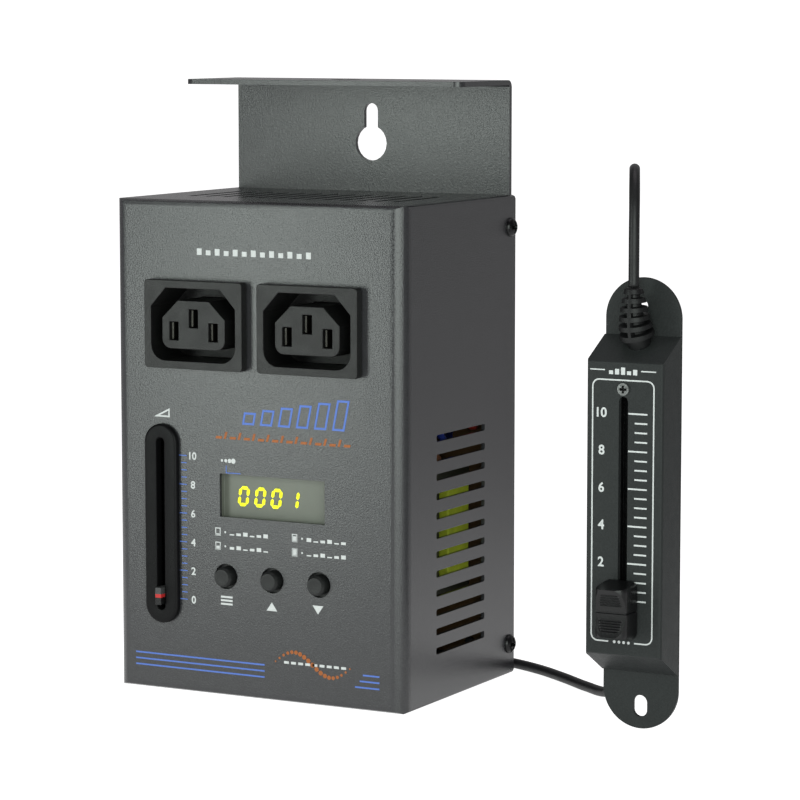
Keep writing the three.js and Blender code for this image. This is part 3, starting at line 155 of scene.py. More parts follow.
floor_mesh.materials.append(floor_paint)


# Cord of the remote fader: 3.2 mm round PVC flex. It rises from the strain relief, bows over
# and drops behind the remote. Its spare length lies coiled behind the case, bound by a woven
# tie, and ends in a jack plug on the floor.
def grain_group():
    """Speckle from two noises: a fine one for bump, a coarse one for tone, both -1 to 1."""
    group = bpy.data.node_groups.new("grain", "ShaderNodeTree")
    face = group.interface
    face.new_socket("Size", in_out="INPUT", socket_type="NodeSocketFloat")
    for name in ("Fine", "Coarse"):
        face.new_socket(name, in_out="OUTPUT", socket_type="NodeSocketFloat")
    nodes = group.nodes
    into, out = nodes.new("NodeGroupInput"), nodes.new("NodeGroupOutput")
    place = add_node(nodes, "TexCoord")
    for name, share, detail in (("Fine", 1.0, 3.0), ("Coarse", 0.12, 4.0)):
        scale = add_node(nodes, "Math", "MULTIPLY", {1: share})
        noise = add_node(nodes, "TexNoise", values={"Detail": detail})
        spread = add_node(nodes, "MapRange", values={
            "From Min": 0.25, "From Max": 0.75, "To Min": -1, "To Max": 1})
        join(into, "Size", scale, 0)
        join(place, "Object", noise, "Vector")
        join(scale, 0, noise, "Scale")
        join(noise, "Fac", spread, "Value")
        join(spread, "Result", out, name)
    return group


def shade_group():
    """A colour lightened or darkened: colour times 1 + amount times value."""
    group = bpy.data.node_groups.new("shade", "ShaderNodeTree")
    face = group.interface
    face.new_socket("Colour", in_out="INPUT", socket_type="NodeSocketColor")
    for name in ("Value", "Amount"):
        face.new_socket(name, in_out="INPUT", socket_type="NodeSocketFloat")
    face.new_socket("Colour", in_out="OUTPUT", socket_type="NodeSocketColor")
    nodes = group.nodes
    into, out = nodes.new("NodeGroupInput"), nodes.new("NodeGroupOutput")
    gain = add_node(nodes, "Math", "MULTIPLY_ADD", {2: 1})
    scale = add_node(nodes, "VectorMath", "SCALE")
    join(into, "Value", gain, 0)
    join(into, "Amount", gain, 1)
    join(into, "Colour", scale, 0)
    join(gain, 0, scale, "Scale")
    join(scale, 0, out, "Colour")
    return group


grain, shade = grain_group(), shade_group()


def finish_of(name, code, roughness, metallic=0.0, size=1500, bump=0.04, tone=0.06,
              rough_change=0.06, specular=0.25):
    """A painted or moulded finish: one colour with grain in its tone, gloss and height.

    The tone follows the fine grain plus a share of the coarse one, the gloss the coarse one
    and the height, of bump in millimetres, the fine one.
    """
    coarse_share = 0.3
    material = bpy.data.materials.new(name)
    material.use_nodes = True
    nodes = material.node_tree.nodes
    shader = nodes["Principled BSDF"]
    set_inputs(shader, {"Metallic": metallic, "Specular IOR Level": specular})
    speckle, toned = add_node(nodes, "Group"), add_node(nodes, "Group")
    speckle.node_tree, toned.node_tree = grain, shade
    set_inputs(speckle, {"Size": size})
    set_inputs(toned, {"Colour": linear(code), "Amount": tone})
    toned.name = "tone"
    both = add_node(nodes, "Math", "MULTIPLY_ADD", {1: coarse_share})
    gloss = add_node(nodes, "Math", "MULTIPLY_ADD", {1: rough_change, 2: roughness})
    height = add_node(nodes, "Bump", values={"Strength": 1.0, "Distance": bump * MM})
    join(speckle, "Coarse", both, 0)
    join(speckle, "Fine", both, 2)
    join(both, 0, toned, "Value")
    join(toned, "Colour", shader, "Base Color")
    join(speckle, "Coarse", gloss, 0)
    join(gloss, 0, shader, "Roughness")
    join(speckle, "Fine", height, "Height")
    join(height, "Normal", shader, "Normal")
    return material


def add_mesh(name, points, faces, material, body="pack", smooth=True):
    """A piece from points in millimetres and faces, riding on a body."""
    mesh = bpy.data.meshes.new(name)
    mesh.from_pydata((np.asarray(points, float) * MM).tolist(), [], faces)
    mesh.polygons.foreach_set("use_smooth", [smooth] * len(mesh.polygons))
    mesh.materials.append(material)
    piece = new_object(name, mesh)
    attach(piece, body)
    return piece


def grid_faces(rows, columns, close_rows=False, close_columns=True, start=0):
    """Quads between the neighbours of a grid of points kept row by row."""
    i = np.arange(rows if close_rows else rows - 1)[:, None]
    j = np.arange(columns if close_columns else columns - 1)[None, :]
    i2, j2 = (i + 1) % rows, (j + 1) % columns
    corners = [start + a * columns + b for a, b in ((i, j), (i, j2), (i2, j2), (i2, j))]
    return np.stack([np.broadcast_to(c, (i.size, j.size)) for c in corners], -1).reshape(-1, 4)


def swept_rings(path, radius, sides):
    """Rings round each path point: the point + radius * (cos a * across + sin a * up)."""
    along = np.gradient(path, axis=0)
    along /= np.linalg.norm(along, axis=1)[:, None]
    across = np.zeros_like(along)
    guess = np.array([0.0, 1.0, 0.0])
    for k, way in enumerate(along):
        guess = guess - way * guess.dot(way)
        guess /= np.linalg.norm(guess)
        across[k] = guess
    up = np.cross(along, across)
    angle = 2 * np.pi * np.arange(sides) / sides
    arm = (np.cos(angle)[None, :, None] * across[:, None]
           + np.sin(angle)[None, :, None] * up[:, None])
    return path[:, None] + radius * arm


def through(points, per_span):
    """A uniform Catmull-Rom curve through points, its ends mirrored."""
    points = np.array(points, float)
    ends = 2 * points[[0, -1]] - points[[1, -2]]
    p = np.vstack([ends[:1], points, ends[1:]])
    t = np.linspace(0, 1, per_span, endpoint=False)[None, :, None]
    a, b, c, d = (p[k:len(p) - 3 + k, None] for k in range(4))
    curve = 0.5 * (2 * b + (c - a) * t + (2 * a - 5 * b + 4 * c - d) * t ** 2
                   + (3 * b - a - 3 * c + d) * t ** 3)
    return np.vstack([curve.reshape(-1, 3), points[-1:]])


case_half_width, case_half_depth = 51, 37.5
cord_diameter, seat_gap = 3.2, 0.25
floor_z = cord_diameter / 2 + seat_gap / 2
coil_x, coil_y = 0.0, case_half_depth + 34.5
coil_pitch, coil_layers, layer_turns, turn_steps = 3.7, 4, 4, 48
coil_middle = 35.2 / 2
coil_outer = coil_middle + layer_turns * coil_pitch / 2
coil_inner = coil_middle - layer_turns * coil_pitch / 2
coil_front = coil_y - coil_outer
remote_gap, remote_half_width, remote_setback = 57.55, 12.1, 4.44
remote_x = case_half_width + remote_gap + remote_half_width
remote_y = -case_half_depth + remote_setback
cord_y, cord_foot = remote_y + 6, 131.25
cord_route = [
    (remote_x, cord_y, cord_foot), (remote_x, cord_y, 139), (remote_x, cord_y, 148),
    (119.6, -24.6, 157.5), (116.7, -18.2, 163.8), (112.6, -9, 163.8), (109.7, -2.6, 157),
    (108.8, -0.4, 146), (108.6, 0, 130), (108.6, 0, 110), (108.6, 0, 90), (108.6, 0, 70),
    (108.6, 0, 50), (108.4, 0.2, 32), (107.6, 1.2, 18), (103.4, 5.2, 7.2), (95, 12.2, 2.6),
    (84, 21, floor_z), (72, 30, floor_z), (59, 38.5, floor_z), (45, 44.6, floor_z),
    (30, coil_front, floor_z), (16, coil_front, floor_z),
    (coil_x + cord_diameter + seat_gap, coil_front, floor_z)]
coil_turns, climb = coil_layers * layer_turns, 0.25
turn = np.linspace(0, coil_turns, coil_turns * turn_steps + 1)
folded = np.abs(1 - (turn / layer_turns) % 2)
coil_radius = coil_inner + (coil_outer - coil_inner) * folded
storey = np.minimum(np.floor(turn / layer_turns), coil_layers - 1)
for reversal in range(layer_turns, coil_turns, layer_turns):
    rising = np.abs(turn - reversal) < climb
    storey[rising] = reversal / layer_turns - 0.5 + (turn[rising] - reversal) / (2 * climb)
coil_angle = -np.pi / 2 - 2 * np.pi * turn
coil_path = np.stack([coil_x + coil_radius * np.cos(coil_angle),
                      coil_y + coil_radius * np.sin(coil_angle),
                      floor_z + storey * coil_pitch], -1)
tail_start, tail_length = coil_x - cord_diameter - seat_gap, 32.0
plug_diameter = 10.6
plug_z = plug_diameter / 2 + seat_gap / 2
tail_share = np.linspace(0, 1, 24)[:, None]
tail_top = floor_z + (coil_layers - 1) * coil_pitch
tail_path = np.hstack([
    tail_start - tail_share * tail_length, np.full_like(tail_share, coil_front),
    tail_top + (plug_z - tail_top) * tail_share ** 2 * (3 - 2 * tail_share)])
cord_path = np.vstack([through(cord_route, 8), coil_path, tail_path])
cord_sides = 14
cord_rings = swept_rings(cord_path, cord_diameter / 2, cord_sides)
cord_faces = grid_faces(len(cord_path), cord_sides).tolist()
last_ring = (len(cord_path) - 1) * cord_sides
cord_faces.append(list(range(cord_sides))[::-1])
cord_faces.append([last_ring + k for k in range(cord_sides)])
cord_pvc = finish_of("cord_pvc", "#1a1a1b", 0.42, size=2200, bump=0.01, tone=0.05)
cord_piece = add_mesh("remote_flex", cord_rings.reshape(-1, 3), cord_faces, cord_pvc)
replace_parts(cord_piece, "remote_cord", "remote_cord_coil", "remote_cord_tail")
tie_clear, tie_slack, tie_thick, tie_half, tie_lowest = 1.65, 0.4, 0.7, 2.5, 0.03
tie_x = np.array([coil_inner - tie_slack - tie_clear, coil_outer + tie_clear])
tie_z = np.array([floor_z - tie_clear, tail_top + tie_clear])
tie_nylon = finish_of("tie_nylon", "#151516", 0.75, size=1800, bump=0.08, tone=0.15)
tie_rings = []
for y, grow in ((0.1 - tie_half, 0.0), (-tie_half, tie_thick), (tie_half, tie_thick),
                (tie_half - 0.1, 0.0)):
    (x0, x1), (z0, z1) = tie_x + [-grow, grow], tie_z + [-grow, grow]
    around = [(x0, z0), (x1, z0), (x1, z1), (x0, z1)]
    tie_rings.append([(coil_x + x, coil_y + y, max(z, tie_lowest)) for x, z in around])
add_mesh("coil_tie", np.reshape(tie_rings, (-1, 3)), grid_faces(4, 4, close_rows=True).tolist(),
         tie_nylon, smooth=False)


# Back plate: one sheet of powder-coated steel, 1.6 mm thick, with a keyhole to hang it by and
# its top folded forward as a hood. Two folded tabs at each side take the case screws.
def softened(node, material, width=0.2, segments=2, body="pack", limit=30):
    """A CAD node's mesh with its flat faces joined and its sharp edges rounded."""
    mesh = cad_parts[node].data.copy()
    work = bmesh.new()
    work.from_mesh(mesh)
    bmesh.ops.remove_doubles(work, verts=work.verts[:], dist=0.001 * MM)
    bmesh.ops.dissolve_limit(work, angle_limit=math.radians(1), verts=work.verts[:],
                             edges=work.edges[:])
    work.to_mesh(mesh)
    work.free()
    mesh.materials.clear()
    mesh.materials.append(material)
    mesh.polygons.foreach_set("use_smooth", [True] * len(mesh.polygons))
    piece = new_object(node + "_finish", mesh)
    rounding = piece.modifiers.new("rounding", "BEVEL")
    rounding.limit_method = "ANGLE"
    rounding.angle_limit = math.radians(limit)
    rounding.width = width * MM
    rounding.segments = segments
    piece.modifiers.new("even_shading", "WEIGHTED_NORMAL").weight = 100
    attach(piece, body)
    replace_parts(piece, node)


softened("back_plate", finish_of("plate_paint", "#2a2a2c", 0.25, size=2300, bump=0.018, tone=0.25,
                                 specular=0.5, rough_change=0.01), width=0.25)


# Power board: brown phenolic laminate on the studs of the back plate. It carries the mains
# transformer, whose laminated core holds a coil wrapped in yellow tape.
softened("power_board", finish_of("board_brown", "#4c3822", 0.55, size=600, bump=0.02, tone=0.12),
         width=0.1)
softened("transformer_core", finish_of("laminations", "#4a4c40", 0.5, metallic=0.6,
                                       tone=0.15), width=0.3)
softened("transformer_coil", finish_of("coil_tape", "#c4d23e", 0.4, size=500, bump=0.03, tone=0.1),
         width=0.8, segments=3)


# Two triacs in black epoxy, clipped flat to a finned sink of extruded aluminium. The sink
# stands above the transformer and carries their heat away.
softened("heat_sink", finish_of("sink_metal", "#a6a8aa", 0.35, metallic=0.9, size=700), width=0.15)
triac_plastic = finish_of("triac_plastic", "#26262a", 0.45, tone=0.08)
for number in (1, 2):
    softened(f"triac_{number}", triac_plastic, width=0.1)


# Two suppression chokes: ring cores wound with one layer of enamelled copper wire, which
# keep the triacs' noise off the mains. They stand on the power board.
choke_copper = finish_of("choke_copper", "#b0602c", 0.3, metallic=0.8, size=700, tone=0.1)


def box_mm(node):
    """The low and high corners of a CAD node's box, in millimetres."""
    return [np.array(corner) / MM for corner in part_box(node)]


def about_axis(middle, axis, u, v, along):
    """Points u and v away from the middle across an axis, and at a place along the axis."""
    u, v, along = np.broadcast_arrays(u, v, along)
    a, b = (k for k in range(3) if k != axis)
    points = np.zeros((*u.shape, 3))
    points[..., a], points[..., b], points[..., axis] = middle[a] + u, middle[b] + v, along
    return points


def full_turn(steps):
    """Evenly spread angles of one turn, in a row."""
    return np.linspace(0, 2 * np.pi, steps, endpoint=False)[None, :]


def wound_ring(name, node):
    """A ring of rounded square section that swells once for each turn of wire round it.

    The swell is 1 - groove * (1 - cos(turns * sweep)) / 2.
    """
    turns, bore_radius, groove = 34, 5.0, 0.09
    low, high = box_mm(node)
    middle, reach = (low + high) / 2, (high - low) / 2
    thin = int(np.argmin(reach))
    outer_radius = reach[0 if thin else 1]
    tube_middle, tube_half = (outer_radius + bore_radius) / 2, (outer_radius - bore_radius) / 2
    sweep, round_tube = full_turn(turns * 6).T, full_turn(20)
    swell = 1 - groove * (0.5 - 0.5 * np.cos(turns * sweep))
    square = 1 / (np.abs(np.cos(round_tube)) ** 4 + np.abs(np.sin(round_tube)) ** 4) ** 0.25
    out = tube_middle + tube_half * swell * square * np.cos(round_tube)
    points = about_axis(middle, thin, out * np.cos(sweep), out * np.sin(sweep),
                        middle[thin] + reach[thin] * swell * square * np.sin(round_tube))
    faces = grid_faces(sweep.size, round_tube.size, close_rows=True)
    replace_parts(add_mesh(name, points.reshape(-1, 3), faces.tolist(), choke_copper), node)


for number in (1, 2):
    wound_ring(f"choke_winding_{number}", f"choke_{number}")


# Control board: green glass-fibre laminate on studs behind the front panel. A switch with a
# moulded body is soldered to it behind each push button.
softened("control_board", finish_of("board_green", "#1f5a34", 0.35, size=500, bump=0.02,
                                    tone=0.15), width=0.1)
switch_plastic = finish_of("switch_plastic", "#2b2b2d", 0.5)
for number in (1, 2, 3):
    softened(f"button_switch_{number}", switch_plastic, width=0.15)


# Left side, from the bottom up: mains inlet and fuse holder in moulded nylon, signal sockets
# out and in with die-cast shells, and the jack socket of the remote fader. Each is seated in
# a hole of the case, the jack socket with a nut outside.
outlet_plastic = finish_of("outlet_plastic", "#121212", 0.42, size=2200, bump=0.02, tone=0.15,
                           specular=0.3)
softened("mains_inlet", outlet_plastic, width=0.3)
softened("fuse_holder", outlet_plastic, width=0.3)
# Plated contacts and pins are made near black: painted shade for their place deep inside the
# sockets.
contact_metal = finish_of("contact_metal", "#33322f", 0.4, metallic=0.95, tone=0.05, size=900)
for line in ("neutral", "earth", "live"):
    softened(f"inlet_{line}_pin", contact_metal, width=0.25)
signal_metal = finish_of("signal_metal", "#8d8f90", 0.35, metallic=0.8, size=1000)
for way in ("in", "out"):
    softened(f"signal_{way}_socket", signal_metal, width=0.25)
softened("remote_socket", finish_of("jack_plastic", "#2a2b2b", 0.45), width=0.15)
softened("remote_socket_nut", finish_of("nut_metal", "#b4b6b6", 0.25, metallic=0.95, size=900,
                                        tone=0.05), width=0.3)


# Case: one folded sheet of powder-coated steel, open at the rear, with vent slots punched
# in its right side and top. Its upright front corners are bent to a radius of 5 mm.
softened("front_cover", finish_of("case_paint", "#2a2a2c", 0.25, size=2300, bump=0.018, tone=0.25,
                                  specular=0.5, rough_change=0.01))


# Case screws: steel blackened by zinc plating, with pan heads and a cross recess. Two in each
# side hold the case to the folded tabs of the back plate.
# Near-black dull finish for the screws' cross recesses: painted shade where the recess is.
recess_painted_shade = finish_of("recess_painted_shade", "#0a0a0a", 0.6, specular=0.1)
screw_black = finish_of("screw_black", "#09090a", 0.28, bump=0.01, tone=0.08, specular=0.3)


def closed_mesh(name, points, faces, material, body="pack", slot=None, sharp=40):
    """A closed piece: points that coincide are merged and the faces turned outward."""
    piece = add_mesh(name, points, [list(face) for face in faces], material, body)
    work = bmesh.new()
    work.from_mesh(piece.data)
    bmesh.ops.remove_doubles(work, verts=work.verts[:], dist=0.0005 * MM)
    bmesh.ops.dissolve_degenerate(work, edges=work.edges[:], dist=0.0002 * MM)
    bmesh.ops.recalc_face_normals(work, faces=work.faces[:])
    work.to_mesh(piece.data)
    work.free()
    piece.data.set_sharp_from_angle(angle=math.radians(sharp))
    return piece


def cross_screw(name, node, axis, sign, material, head_height, shank_radius, dome):
    """A domed head on a shank: rings of growing radius, pressed in where the cross is.

    At a share of its radius the head has fallen by
    head_height * (1 - sqrt(1 - (dome * share)^2)), and more in the two slots of the cross.
    """
    arm_share, half_share, wall_share, depth_share = 0.6, 0.17, 0.05, 0.75
    low, high = box_mm(node)
    middle = (low + high) / 2
    across = [k for k in range(3) if k != axis]
    radius = (high - low)[across[0]] / 2
    top = high[axis] if sign > 0 else low[axis]
    foot = low[axis] if sign > 0 else high[axis]
    share = np.linspace(0, 1, 30)[:, None]
    angle = full_turn(64)
    r = radius * share
    u, v = r * np.cos(angle), r * np.sin(angle)
    arm, half = radius * arm_share, radius * half_share
    inside = np.maximum(
        np.minimum(arm - np.abs(u), half - np.abs(v)),
        np.minimum(arm - np.abs(v), half - np.abs(u)))
    cross = np.clip(inside / (wall_share * radius) + 0.5, 0, 1) * depth_share * head_height
    drop = head_height * (1 - np.sqrt(1 - (dome * share) ** 2)) + cross
    rings = [np.stack([u, v, -drop + 0 * angle], -1)]
    shank_length = abs(top - foot)
    for ring_radius, depth in ((radius, head_height), (shank_radius, head_height),
                               (shank_radius, shank_length - 0.3),
                               (shank_radius * 0.7, shank_length), (0.0, shank_length)):
        rings.append(np.stack([ring_radius * np.cos(angle), ring_radius * np.sin(angle),
                               np.full_like(angle, -depth)], -1))
    rings = np.concatenate(rings)
    points = about_axis(middle, axis, rings[..., 0], rings[..., 1], top + sign * rings[..., 2])
    piece = closed_mesh(name, points.reshape(-1, 3), grid_faces(*points.shape[:2]), material)
    # The faces of the cross get this second finish: painted shade in the recess, not the screw's
    # own colour.
    piece.data.materials.append(recess_painted_shade)
    centres = np.zeros(len(piece.data.polygons) * 3)
    piece.data.polygons.foreach_get("center", centres)
    u, v = (np.abs(centres[k::3] / MM - middle[k]) for k in across)
    pressed = (np.maximum(u, v) < arm) & (np.minimum(u, v) < half)
    piece.data.polygons.foreach_set("material_index", pressed.astype(int).tolist())
    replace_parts(piece, node)


for side, sign in (("left", -1), ("right", 1)):
    for number in (1, 2):
        cross_screw(f"case_screw_head_{side}_{number}", f"case_screw_{side}_{number}", 0, sign,
                    screw_black, head_height=2.0, shank_radius=1.3, dome=0.98)


# Outlets: two moulded nylon sockets snapped into the front, each with a raised island and
# three nickel-plated brass contacts. PVC-covered wires run from them to the power board.
for side in ("left", "right"):
    softened(f"outlet_{side}", outlet_plastic, width=0.3, segments=3)
    for line in ("neutral", "earth", "live"):
        # The contacts carry painted shade: dark metal in place of the shade inside the socket
        # slots.
        softened(f"outlet_{side}_{line}_contact", contact_metal, width=0.12)
for node, slot, code in (("wire_neutral", "wire_blue", "#1e2e78"),
                         ("wire_live_1", "wire_brown", "#7a4a2a"),
                         ("wire_live_2", "wire_red", "#8a261c")):
    softened(node, finish_of(slot, code, 0.4, tone=0.05), width=0.02, limit=60)


# Fader: a metal slide body behind the panel, a moulded bezel with a rounded rim on it, and a
# flat lever whose tip carries a red line between a light and a dark half.
# Near black: painted shade for the slide bodies seen in the dark of the slots.
slide_metal = finish_of("slide_metal", "#0c0c0d", 0.45, metallic=0.3, size=900)
softened("fader_body", slide_metal, width=0.15)
bezel_plastic = finish_of("bezel_plastic", "#0b0b0c", 0.42, size=1300, bump=0.012, specular=0.1)


def arc(middle, radius, start, end, steps=8):
    """Points of a round corner about middle, between two angles in degrees."""
    angle = np.radians(np.linspace(start, end, steps))
    return [(middle[0] + radius * math.cos(a), middle[1] + radius * math.sin(a)) for a in angle]


def bezel_surface():
    """A closed section carried round the slot's long oval: two half turns and two runs.

    The section is of (distance from the slot's middle line, y).
    """
    slot_half, outer_half, lip_half, middle_x, middle_z = 1.425, 5.9, 4.7, -33.5, 52.5
    front, rear, lip_rear = -39.4, -37.75, -36.3
    rim, edge, slot_run, outer_run, steps = 0.95, 0.35, 25.525, 25.3, 33
    section = (
        [(slot_half, lip_rear), (slot_half, front + edge)]
        + arc((slot_half + edge, front + edge), edge, 180, 270, 5)
        + arc((outer_half - rim, front + rim), rim, 270, 360)
        + [(outer_half, rear), (lip_half, rear), (lip_half, lip_rear)])
    out, depth = np.array(section).T
    angle = np.linspace([0, np.pi], [np.pi, 2 * np.pi], steps).T.reshape(-1, 1)
    upper = np.repeat([1.0, -1.0], steps)[:, None]
    half_run = np.interp(out, [slot_half, outer_half], [slot_run, outer_run])
    x = middle_x + out * np.cos(angle)
    z = middle_z + out * np.sin(angle) + upper * half_run
    points = np.stack([x, np.broadcast_to(depth, x.shape), z], -1)
    return points.reshape(-1, 3), grid_faces(*x.shape, close_rows=True)


bezel = closed_mesh("fader_bezel_ring", *bezel_surface(), bezel_plastic, sharp=50)
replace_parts(bezel, "fader_bezel")


def banded(material, axis, low, high, stops):
    """Bands of colour along an axis. A stop is a share of the way from low to high, and a code.

    Each band reaches from its stop to the next.
    """
    nodes = material.node_tree.nodes
    place, split = add_node(nodes, "TexCoord"), add_node(nodes, "SeparateXYZ")
    reach = add_node(nodes, "MapRange", values={"From Min": low * MM, "From Max": high * MM})
    bands = add_node(nodes, "ValToRGB")
    ramp = bands.color_ramp
    ramp.interpolation = "CONSTANT"
    ramp.elements.remove(ramp.elements[1])
    ramp.elements[0].color = linear(stops[0][1])
    for position, code in stops[1:]:
        ramp.elements.new(position).color = linear(code)
    join(place, "Object", split, 0)
    join(split, axis, reach, "Value")
    join(reach, "Result", bands, "Fac")
    join(bands, "Color", nodes["tone"], "Colour")


lever_middle = sum(corner[2] for corner in box_mm("fader_lever")) / 2
lever_plastic = finish_of("lever_plastic", "#101011", 0.4, tone=0.05)
banded(lever_plastic, "Z", lever_middle - 2.7, lever_middle + 2.7,
       ((0.0, "#101011"), (0.42, "#a82626"), (0.625, "#3c3c3d")))
softened("fader_lever", lever_plastic, width=0.25, segments=3, body="fader")


# Display: a smoked lens at the bottom of a recessed window, and behind it a module of four
# yellow seven-segment figures. The status lamp stands at the window's upper left.
softened("display_window", finish_of("window_lens", "#5f625a", 0.36, size=300, bump=0.004,
                                     tone=0.03))
softened("display_module", finish_of("display_face", "#5a5d57", 0.5, size=700))
digit_glow = finish_of("digit_glow", "#d6d81c", 0.4, size=2500, tone=0.1)
shader = digit_glow.node_tree.nodes["Principled BSDF"]
join(digit_glow.node_tree.nodes["tone"], "Colour", shader, "Emission Color")
set_inputs(shader, {"Emission Strength": 0.65})


def layer(name, outlines, material, face_y):
    """Closed outlines of (x, z), each one flat face of ink or light that looks to -Y."""
    points, faces = [], []
    for outline in outlines:
        x, z = np.array(outline).T
        turning = np.dot(x, np.roll(z, -1)) - np.dot(z, np.roll(x, -1))
        order = range(len(outline)) if turning > 0 else range(len(outline))[::-1]
        faces.append([len(points) + k for k in order])
        points += [(a, face_y, b) for a, b in outline]
    add_mesh(name, points, faces, material, smooth=False)


def lit_segments(figure, x, z, thickness):
    """The lit segments of one seven-segment figure: six-sided bars, leaning to the right."""
    width, height, lean, gap = 2.8, 5.2, 0.13, 0.1
    half, middle, tip = width / 2, height / 2, thickness / 2
    bars = {"a": (0, middle, 0), "d": (0, -middle, 0),
            "b": (half, middle / 2, 1), "c": (half, -middle / 2, 1),
            "f": (-half, middle / 2, 1), "e": (-half, -middle / 2, 1)}
    outlines = []
    for key in {"0": "abcdef", "1": "bc"}[figure]:
        middle_x, middle_z, upright = bars[key]
        reach = (middle if upright else width) / 2 - gap
        bar = [(-reach, 0), (-reach + tip, -tip), (reach - tip, -tip), (reach, 0),
               (reach - tip, tip), (-reach + tip, tip)]
        if upright:
            bar = [(-b, a) for a, b in bar]
        placed = [(middle_x + a, middle_z + b) for a, b in bar]
        outlines.append([(x + a + lean * b, z + b) for a, b in placed])
    return outlines


lens_thickness = 1.2
lens_front = box_mm("display_window")[1][1] - lens_thickness
digit_places, digit_z = (-6.3, -0.45, 5.3, 11.3), 62.4
# A see-through yellow layer wider than the lit figures: painted glow, the figures' light spread
# over the lens.
painted_glow_haze = finish_of("painted_glow_haze", "#8c8e34", 0.5, size=300, tone=0.05)
set_inputs(painted_glow_haze.node_tree.nodes["Principled BSDF"], {"Alpha": 0.3})
for name, thickness, material, gap in (("display_painted_glow", 2.1, painted_glow_haze, 0.03),
                                       ("display_figures", 1.05, digit_glow, 0.06)):
    outlines = [outline for figure, x in zip("0001", digit_places)
                for outline in lit_segments(figure, x, digit_z, thickness)]
    layer(name, outlines, material, lens_front - gap)


def turned(name, node, profile, axis, material, body="pack", slot=None, sides=64):
    """A profile of (radius, place along the axis) turned round the middle of a node's box."""
    radius, along = np.array(profile, float).T[..., None]
    angle = full_turn(sides)
    points = about_axis(sum(box_mm(node)) / 2, axis, radius * np.cos(angle),
                        radius * np.sin(angle), along)
    piece = closed_mesh(name, points.reshape(-1, 3), grid_faces(len(profile), sides), material,
                        body, slot)
    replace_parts(piece, node)


lamp_blue = finish_of("lamp_blue", "#5f86d8", 0.25, size=600, tone=0.05)
lamp_front, lamp_rear = (corner[1] for corner in box_mm("status_lamp"))
turned("status_lamp_dome", "status_lamp", [(0, lamp_front)]
       + arc((0.4, lamp_front + 0.7), 0.7, 270, 360)
       + [(1.1, lamp_rear), (0, lamp_rear)], 1, lamp_blue, sides=32)


# Push buttons: three moulded caps with a flat face and a chamfered rim, on plungers whose
# collars keep them behind the panel.
button_plastic = finish_of("button_plastic", "#1a1b1b", 0.4, bump=0.012)
collar_front = -36.3 + 0.5
for number, body in ((1, "button_left"), (2, "button_middle"), (3, "button_right")):
    cap_front, plunger_rear = (corner[1] for corner in box_mm(f"button_{number}"))
    turned(f"button_cap_{number}", f"button_{number}", [
        (0, cap_front + 0.1), (1.6, cap_front + 0.06), (2.3, cap_front), (2.48, cap_front + 0.02),
        (2.56, cap_front + 0.12), (2.98, cap_front + 0.75), (3.08, cap_front + 0.92),
        (3.1, cap_front + 1.15), (3.1, collar_front), (4.8, collar_front), (4.8, collar_front + 1),
        (1.5, collar_front + 1), (1.5, plunger_rear), (0, plunger_rear)],
        1, button_plastic, body=body)


# Remote fader: a folded steel cover on a flat base plate with two fixing holes, both painted
# dark grey. The slide body lies under the cover's slot, held by two screws, and a moulded
# knob is pressed on its lever.
remote_paint = finish_of("remote_paint", "#2a2c2c", 0.42, size=2400, bump=0.02, tone=0.15,
                         specular=0.08)


def oval_rings(width, height, x, z, insets, sides):
    """Rectangles with round ends, each drawn in by an inset: two half circles a run apart."""
    angle = full_turn(sides) + np.pi / sides
    radius, run = (width / 2 - insets)[:, None], (height - width) / 2
    return x + radius * np.cos(angle), z + radius * np.sin(angle) + run * np.sign(np.sin(angle))


def base_plate_sheet():
    """A flat sheet between a long oval and two holes; each rim turns over in quarter rounds.

    A rim is a grid of rings from the front face to the rear face. The two faces are filled
    with triangles between the outermost rings.
    """
    front, rear, rounding = remote_y + 12.9, remote_y + 14.4, 0.3
    quarter = np.radians([0, 30, 60, 90])
    inset, depth = rounding * (1 - np.sin(quarter)), rounding * (1 - np.cos(quarter))
    insets = np.concatenate([inset, inset[::-1]])
    y = np.concatenate([front + depth, rear - depth[::-1]])[:, None]
    points, faces = [], []
    for width, height, x, z, sides, inward in (
            (23.9, 133.55, 0, 66.775, 96, 1), (4.4, 6.4, 0, 6.8, 48, -1),
            (3.6, 3.6, -0.4, 125.2, 48, -1)):
        across, up = oval_rings(width, height, remote_x + x, z, inward * insets, sides)
        faces += grid_faces(len(insets), sides, start=len(points)).tolist()
        points += np.stack([across, y + 0 * across, up], -1).reshape(-1, 3).tolist()
    piece = add_mesh("base_plate_sheet", points, faces, remote_paint)
    work = bmesh.new()
    work.from_mesh(piece.data)
    for face_y in (front, rear):
        rims = [edge for edge in work.edges
                if edge.is_boundary and abs(edge.verts[0].co.y / MM - face_y) < 0.01]
        bmesh.ops.triangle_fill(work, use_beauty=True, use_dissolve=False, edges=rims,
                                normal=(0, -1, 0))
    bmesh.ops.recalc_face_normals(work, faces=work.faces[:])
    work.to_mesh(piece.data)
    work.free()
    piece.data.polygons.foreach_set("use_smooth", [True] * len(piece.data.polygons))
    piece.modifiers.new("even_shading", "WEIGHTED_NORMAL").weight = 100
    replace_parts(piece, "remote_base_plate")


base_plate_sheet()
softened("remote_cover", remote_paint, width=0.3, segments=3)
# The remote's slide body and lever take the same near-black painted shade.
softened("remote_fader_body", slide_metal, width=0.15)
softened("remote_fader_lever", slide_metal, width=0.15, body="remote_slider")
remote_screw = finish_of("remote_screw", "#6c6e6d", 0.35, metallic=0.7, tone=0.05)
for number in (1, 2):
    cross_screw(f"remote_screw_head_{number}", f"remote_fader_screw_{number}", 1, -1,
                remote_screw, head_height=1.0, shank_radius=1.1, dome=0.3)
knob_plastic = finish_of("knob_plastic", "#0d0d0e", 0.32, bump=0.008, specular=0.3)


